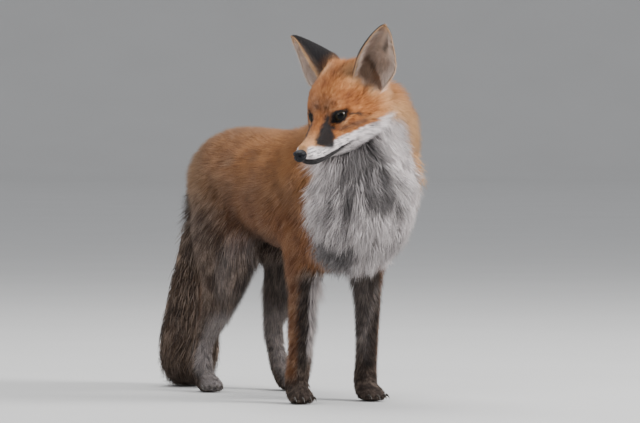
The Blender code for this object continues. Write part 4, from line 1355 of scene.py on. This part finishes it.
before_ears = smoothstep(-22, -10, head_local[:, 0])
face = before_ears * (~bare).astype(float)
muzzle = smoothstep(16, 24, head_local[:, 0])
grow(
    "coat_muzzle", head_shell, face * muzzle, 30000, 0.00034,
    lock=0.0030, draw_in=0.3, rings=1, seed=21,
)
grow(
    "coat_face", head_shell, face * (1 - muzzle), 34000, 0.00046,
    lock=0.0045, draw_in=0.4, stray=0.14, rings=1, seed=22,
)
grow(
    "coat_crown", head_shell, (1 - before_ears) * (head_local[:, 0] > -96), 36000, 0.00055,
    lock=0.008, draw_in=0.5, rings=1, seed=23,
)

LID_COAT = 0.0006
for side, word in ((1, "left"), (-1, "right")):
    points, triangles, _, outward = lids[side]
    calm = corner_normals(points, triangles)
    centre, gaze, inner, up = eye_axes(side)
    away = unit((from_head(points) - centre) @ HEAD_TURN)
    towards = (away - calm * (away * calm).sum(1, keepdims=True)) + 0.5 * np.array((-1, 0, 0)) @ HEAD_TURN
    towards = towards - (away @ (gaze @ HEAD_TURN))[:, None] * (gaze @ HEAD_TURN)
    lie = unit(towards - calm * (towards * calm).sum(1, keepdims=True))
    depth = np.full(len(points), LID_COAT)
    spots = np.array([0.01 + 0.5 * (side > 0), 0.01]) + from_head(points)[:, [0, 2]] * 0.004 + 0.2
    shell = shell_facts(
        points, triangles, calm, lie, depth * 0, depth, depth * 3.8,
        lambda points, normals: head_marks(from_head(points)), spots,
    )
    grow(
        f"coat_lid_{word}", shell, (outward > 0.06) * 1.0, 2200, 0.00032,
        lock=0.002, draw_in=0.2, rings=1, seed=25 + side,
    )

# ------------------------------------------------------------------ the coat of the ears
# Velvet-short black hair behind, and inside it long pale hair that grows in from both edges and crosses the
# dark hollow.
for side, word in ((1, "left"), (-1, "right")):
    points, triangles, facts, (along_ear, across_ear) = ears[side]
    edges = edges_of(triangles)
    calm = unit(evened(corner_normals(points, triangles), edges, 2))
    within, v, rise = facts.T
    inside = smoothstep(-0.2, 0.2, within)
    inner_half, outer_half = smoothstep(0.10, -0.60, v), smoothstep(0.35, 0.85, v)
    round_rim = (1 - inside) * 0.25 * np.sign(v) * (np.abs(v) > 0.8)
    inwards = inside * (0.95 * inner_half - 0.35 * outer_half) + round_rim
    towards = along_ear + inwards[:, None] * across_ear
    flow = unit(towards - calm * (towards * calm).sum(1, keepdims=True))
    taper = smoothstep(1.0, 0.45, rise)
    hair = 0.0042 + inside * (0.001 + (0.0105 * inner_half + 0.005 * outer_half) * taper)
    hair = hair + 0.003 * smoothstep(0.2, 0.0, rise)
    depth = 0.0011 + inside * (0.0008 + (0.0055 * inner_half + 0.002 * outer_half) * taper)
    bend = -30.0 * inside * taper
    spots = np.stack([0.25 + 0.23 * v + 0.5 * (within > 0), 0.02 + 0.96 * (rise + 0.2) / 1.2], 1)
    shell = shell_facts(points, triangles, calm, flow, bend, depth, hair, ear_marks(facts), spots)
    lowest = np.where(v > 0.3, -0.02 - 0.10 * (within > 0), -0.19)
    grow(
        f"coat_ear_{word}", shell, (rise > lowest) * (1 + 0.4 * inside), 15500, 0.00044,
        lock=0.0045, draw_in=0.4, stray=0.2, rings=1, seed=31 + side,
    )

# ------------------------------------------------------------------ the whiskers
# Thin tapering black bristles in four rows on each side of the upper lip, swept back and a little down. They
# stand in the skin, among the short white hair.
WHISKER_ROWS, WHISKER_EACH, WHISKER_STEPS = 4, 4, 9
WHISKERS = WHISKER_ROWS * WHISKER_EACH  # on one side
whisker_finish, shader, start = new_material("whisker", {"Roughness": 0.4})
tip_place = start.node("TexCoord", out=3)
whisker_tone = start.node("TexNoise", sockets={"Vector": tip_place, "Scale": 90.0})
feed(shader, whisker_tone.blend((0.015, 0.012, 0.010), (0.045, 0.038, 0.034)), "Base Color")


def whisker_points(side, draw):
    """Three-sided bristles: root + way·L·t + droop·t², with a width that falls as 1 - t."""
    row, column = np.divmod(np.arange(WHISKERS), WHISKER_EACH)
    root = np.stack([58 - 6.0 * column - 1.5 * row, side * (11.4 + 1.1 * column), -30 - 2.6 * row], 1)
    root = root + draw.normal(size=root.shape) * 0.5
    long = (22 + 6.0 * column) * draw.uniform(0.85, 1.15, WHISKERS)
    way = np.stack([-0.55 - 0.12 * column, np.full(WHISKERS, side * 0.75), 0.12 - 0.16 * row], 1)
    way = unit(way + draw.normal(size=root.shape) * 0.06)
    t = np.linspace(0, 1, WHISKER_STEPS)[None, :, None]
    spine = root[:, None] + way[:, None] * long[:, None, None] * t + np.array([-4.0, 0, -5.0]) * t**2
    cross = unit(np.cross(way, (0.0, 0.0, 1.0)))[:, None]
    over = np.cross(way[:, None], cross)
    wide = 0.16 * (1 - 0.95 * t[..., None])
    turn = (np.arange(3) * math.tau / 3)[None, None, :, None]
    ring = spine[:, :, None] + wide * (np.cos(turn) * cross[:, :, None] + np.sin(turn) * over[:, :, None])
    poles = np.stack([spine[:, 0], spine[:, -1]], 1)
    return np.concatenate([ring.reshape(WHISKERS, -1, 3), poles], 1)


bristles = [whisker_points(side, np.random.default_rng(40 + side)) for side in (-1, 1)]
bristles = on_head(np.concatenate(bristles).reshape(-1, 3)).reshape(2 * WHISKERS, -1, 3)
bristle_triangles = repeated(bristles, tube_triangles(WHISKER_STEPS, 3))
whiskers = mesh_object("whiskers", bristles.reshape(-1, 3), bristle_triangles, whisker_finish)
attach(whiskers, "root")

# ------------------------------------------------------------------ the claws
# Four short dark horn claws on each paw, curved down to just above the floor. Each grows from the end of a
# toe, half hidden by the hair.
CLAW_RINGS, CLAW_ROUND = 12, 10
CLAW_CURVE, CLAW_HIGH = 0.0085, 0.0088  # the radius of the circle a claw follows, and its root's height
PAW_FRONT = 0.0305  # from the paw's foremost place back to its middle
CLAWS = ((-0.0138, -0.013), (-0.0050, -0.0205), (0.0050, -0.0205), (0.0138, -0.013))
PAW_TURN = {"front_right": -8, "front_left": 5, "hind_right": -6, "hind_left": 8}
claw_finish, shader, start = new_material("claw_horn", {"Roughness": 0.32, "Specular IOR Level": 0.5})
horn_place = start.node("TexCoord", out=3)
horn = start.node("TexNoise", sockets={"Vector": horn_place, "Scale": 420.0, "Detail": 3.0})
feed(shader, horn.between(0.3, 0.7).blend((0.018, 0.015, 0.013), (0.075, 0.062, 0.050)), "Base Color")


def claw_shell(leg, across, ahead):
    """A cone carried along a quarter of a circle, deeper than it is wide."""
    low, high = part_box(f"paw_{leg}")
    spin = math.radians(PAW_TURN[leg])
    turn = np.array([[math.cos(spin), -math.sin(spin)], [math.sin(spin), math.cos(spin)]])
    root = np.array([(low.x + high.x) / 2, low.y + PAW_FRONT]) + turn @ np.array([across, ahead - CLAW_CURVE])
    t = np.linspace(0, 1, CLAW_RINGS)
    swing = t * 1.15
    forward = turn @ np.array([0.0, -1.0])
    reach, drop = CLAW_CURVE * np.sin(swing), CLAW_CURVE * (1 - np.cos(swing))
    spine = np.column_stack([root + forward * reach[:, None], CLAW_HIGH - drop])
    wide = 0.0013 * (1 - t) ** 0.7 + 0.0001
    angle = np.linspace(0, math.tau, CLAW_ROUND, endpoint=False)
    cross = np.append(turn @ np.array([1.0, 0.0]), 0)
    section = np.outer(np.cos(angle), cross) + 1.35 * np.outer(np.sin(angle), (0, 0, 1))
    ring = spine[:, None] + wide[:, None, None] * section
    return np.vstack([ring.reshape(-1, 3), spine[0], spine[-1]])


claw_sets = np.array([claw_shell(leg, *claw) for leg in PAW_TURN for claw in CLAWS])
claw_triangles = repeated(claw_sets, tube_triangles(CLAW_RINGS, CLAW_ROUND))
claws = mesh_object("claws", claw_sets.reshape(-1, 3), claw_triangles, claw_finish)
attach(claws, "root")

# ------------------------------------------------------------------ the studio
# A pale floor that curves up into a backdrop far behind, a broad soft light above and ahead, a weaker one on
# the other side and an even pale surround.
floor_finish, shader, start = new_material("floor_paint", {"Roughness": 0.85})
floor_place = start.node("TexCoord", out=3)
floor_tone = start.node("TexNoise", sockets={"Vector": floor_place, "Scale": 3.0})
feed(shader, floor_tone.blend((0.52, 0.515, 0.505), (0.56, 0.555, 0.545)), "Base Color")
FLOOR_FLAT, FLOOR_RISE, FLOOR_ROUND, FLOOR_STEPS = 15.0, 3.0, 128, 20


def floor_shell():
    """A disc that turns up at its rim: radius flat + rise·sin a and height rise·(1 - cos a)."""
    a = np.linspace(0, math.pi / 2, FLOOR_STEPS)
    radius = np.concatenate([[0.5, 3.0, 8.0], FLOOR_FLAT + FLOOR_RISE * np.sin(a)])
    high = np.concatenate([np.zeros(3), FLOOR_RISE * (1 - np.cos(a))])
    turn = np.linspace(0, math.tau, FLOOR_ROUND, endpoint=False)
    level = np.repeat(high[:, None], FLOOR_ROUND, 1)
    rows = np.stack([np.outer(radius, np.cos(turn)), np.outer(radius, np.sin(turn)), level], -1)
    sides = grid_triangles(len(radius), FLOOR_ROUND)[:, ::-1]
    j = np.arange(FLOOR_ROUND)
    hub = np.stack([np.full(FLOOR_ROUND, rows[..., 0].size), j, (j + 1) % FLOOR_ROUND], 1)
    return np.vstack([rows.reshape(-1, 3), (0, 0, 0)]), np.concatenate([sides, hub])


floor = mesh_object("floor", *floor_shell(), floor_finish)


def soft_light(name, place, size, power, aim=(0.0, -0.05, 0.25)):
    """A square area light turned towards the fox."""
    lamp = bpy.data.lights.new(name, "AREA")
    lamp.size = size
    lamp.energy = power
    made = bpy.data.objects.new(name, lamp)
    made.location = place
    made.rotation_euler = (Vector(aim) - Vector(place)).to_track_quat("-Z", "Y").to_euler()
    bpy.context.scene.collection.objects.link(made)


soft_light("key", (2.1, -2.2, 2.1), 1.5, 185)
soft_light("fill", (-3.0, -2.2, 1.8), 2.2, 55)
soft_light("top", (0.0, 0.9, 3.2), 2.4, 105)
world = bpy.data.worlds.new("surround")
world.use_nodes = True
world.node_tree.nodes["Background"].inputs["Color"].default_value = (0.86, 0.88, 0.92, 1)
world.node_tree.nodes["Background"].inputs["Strength"].default_value = 0.72
bpy.context.scene.world = world
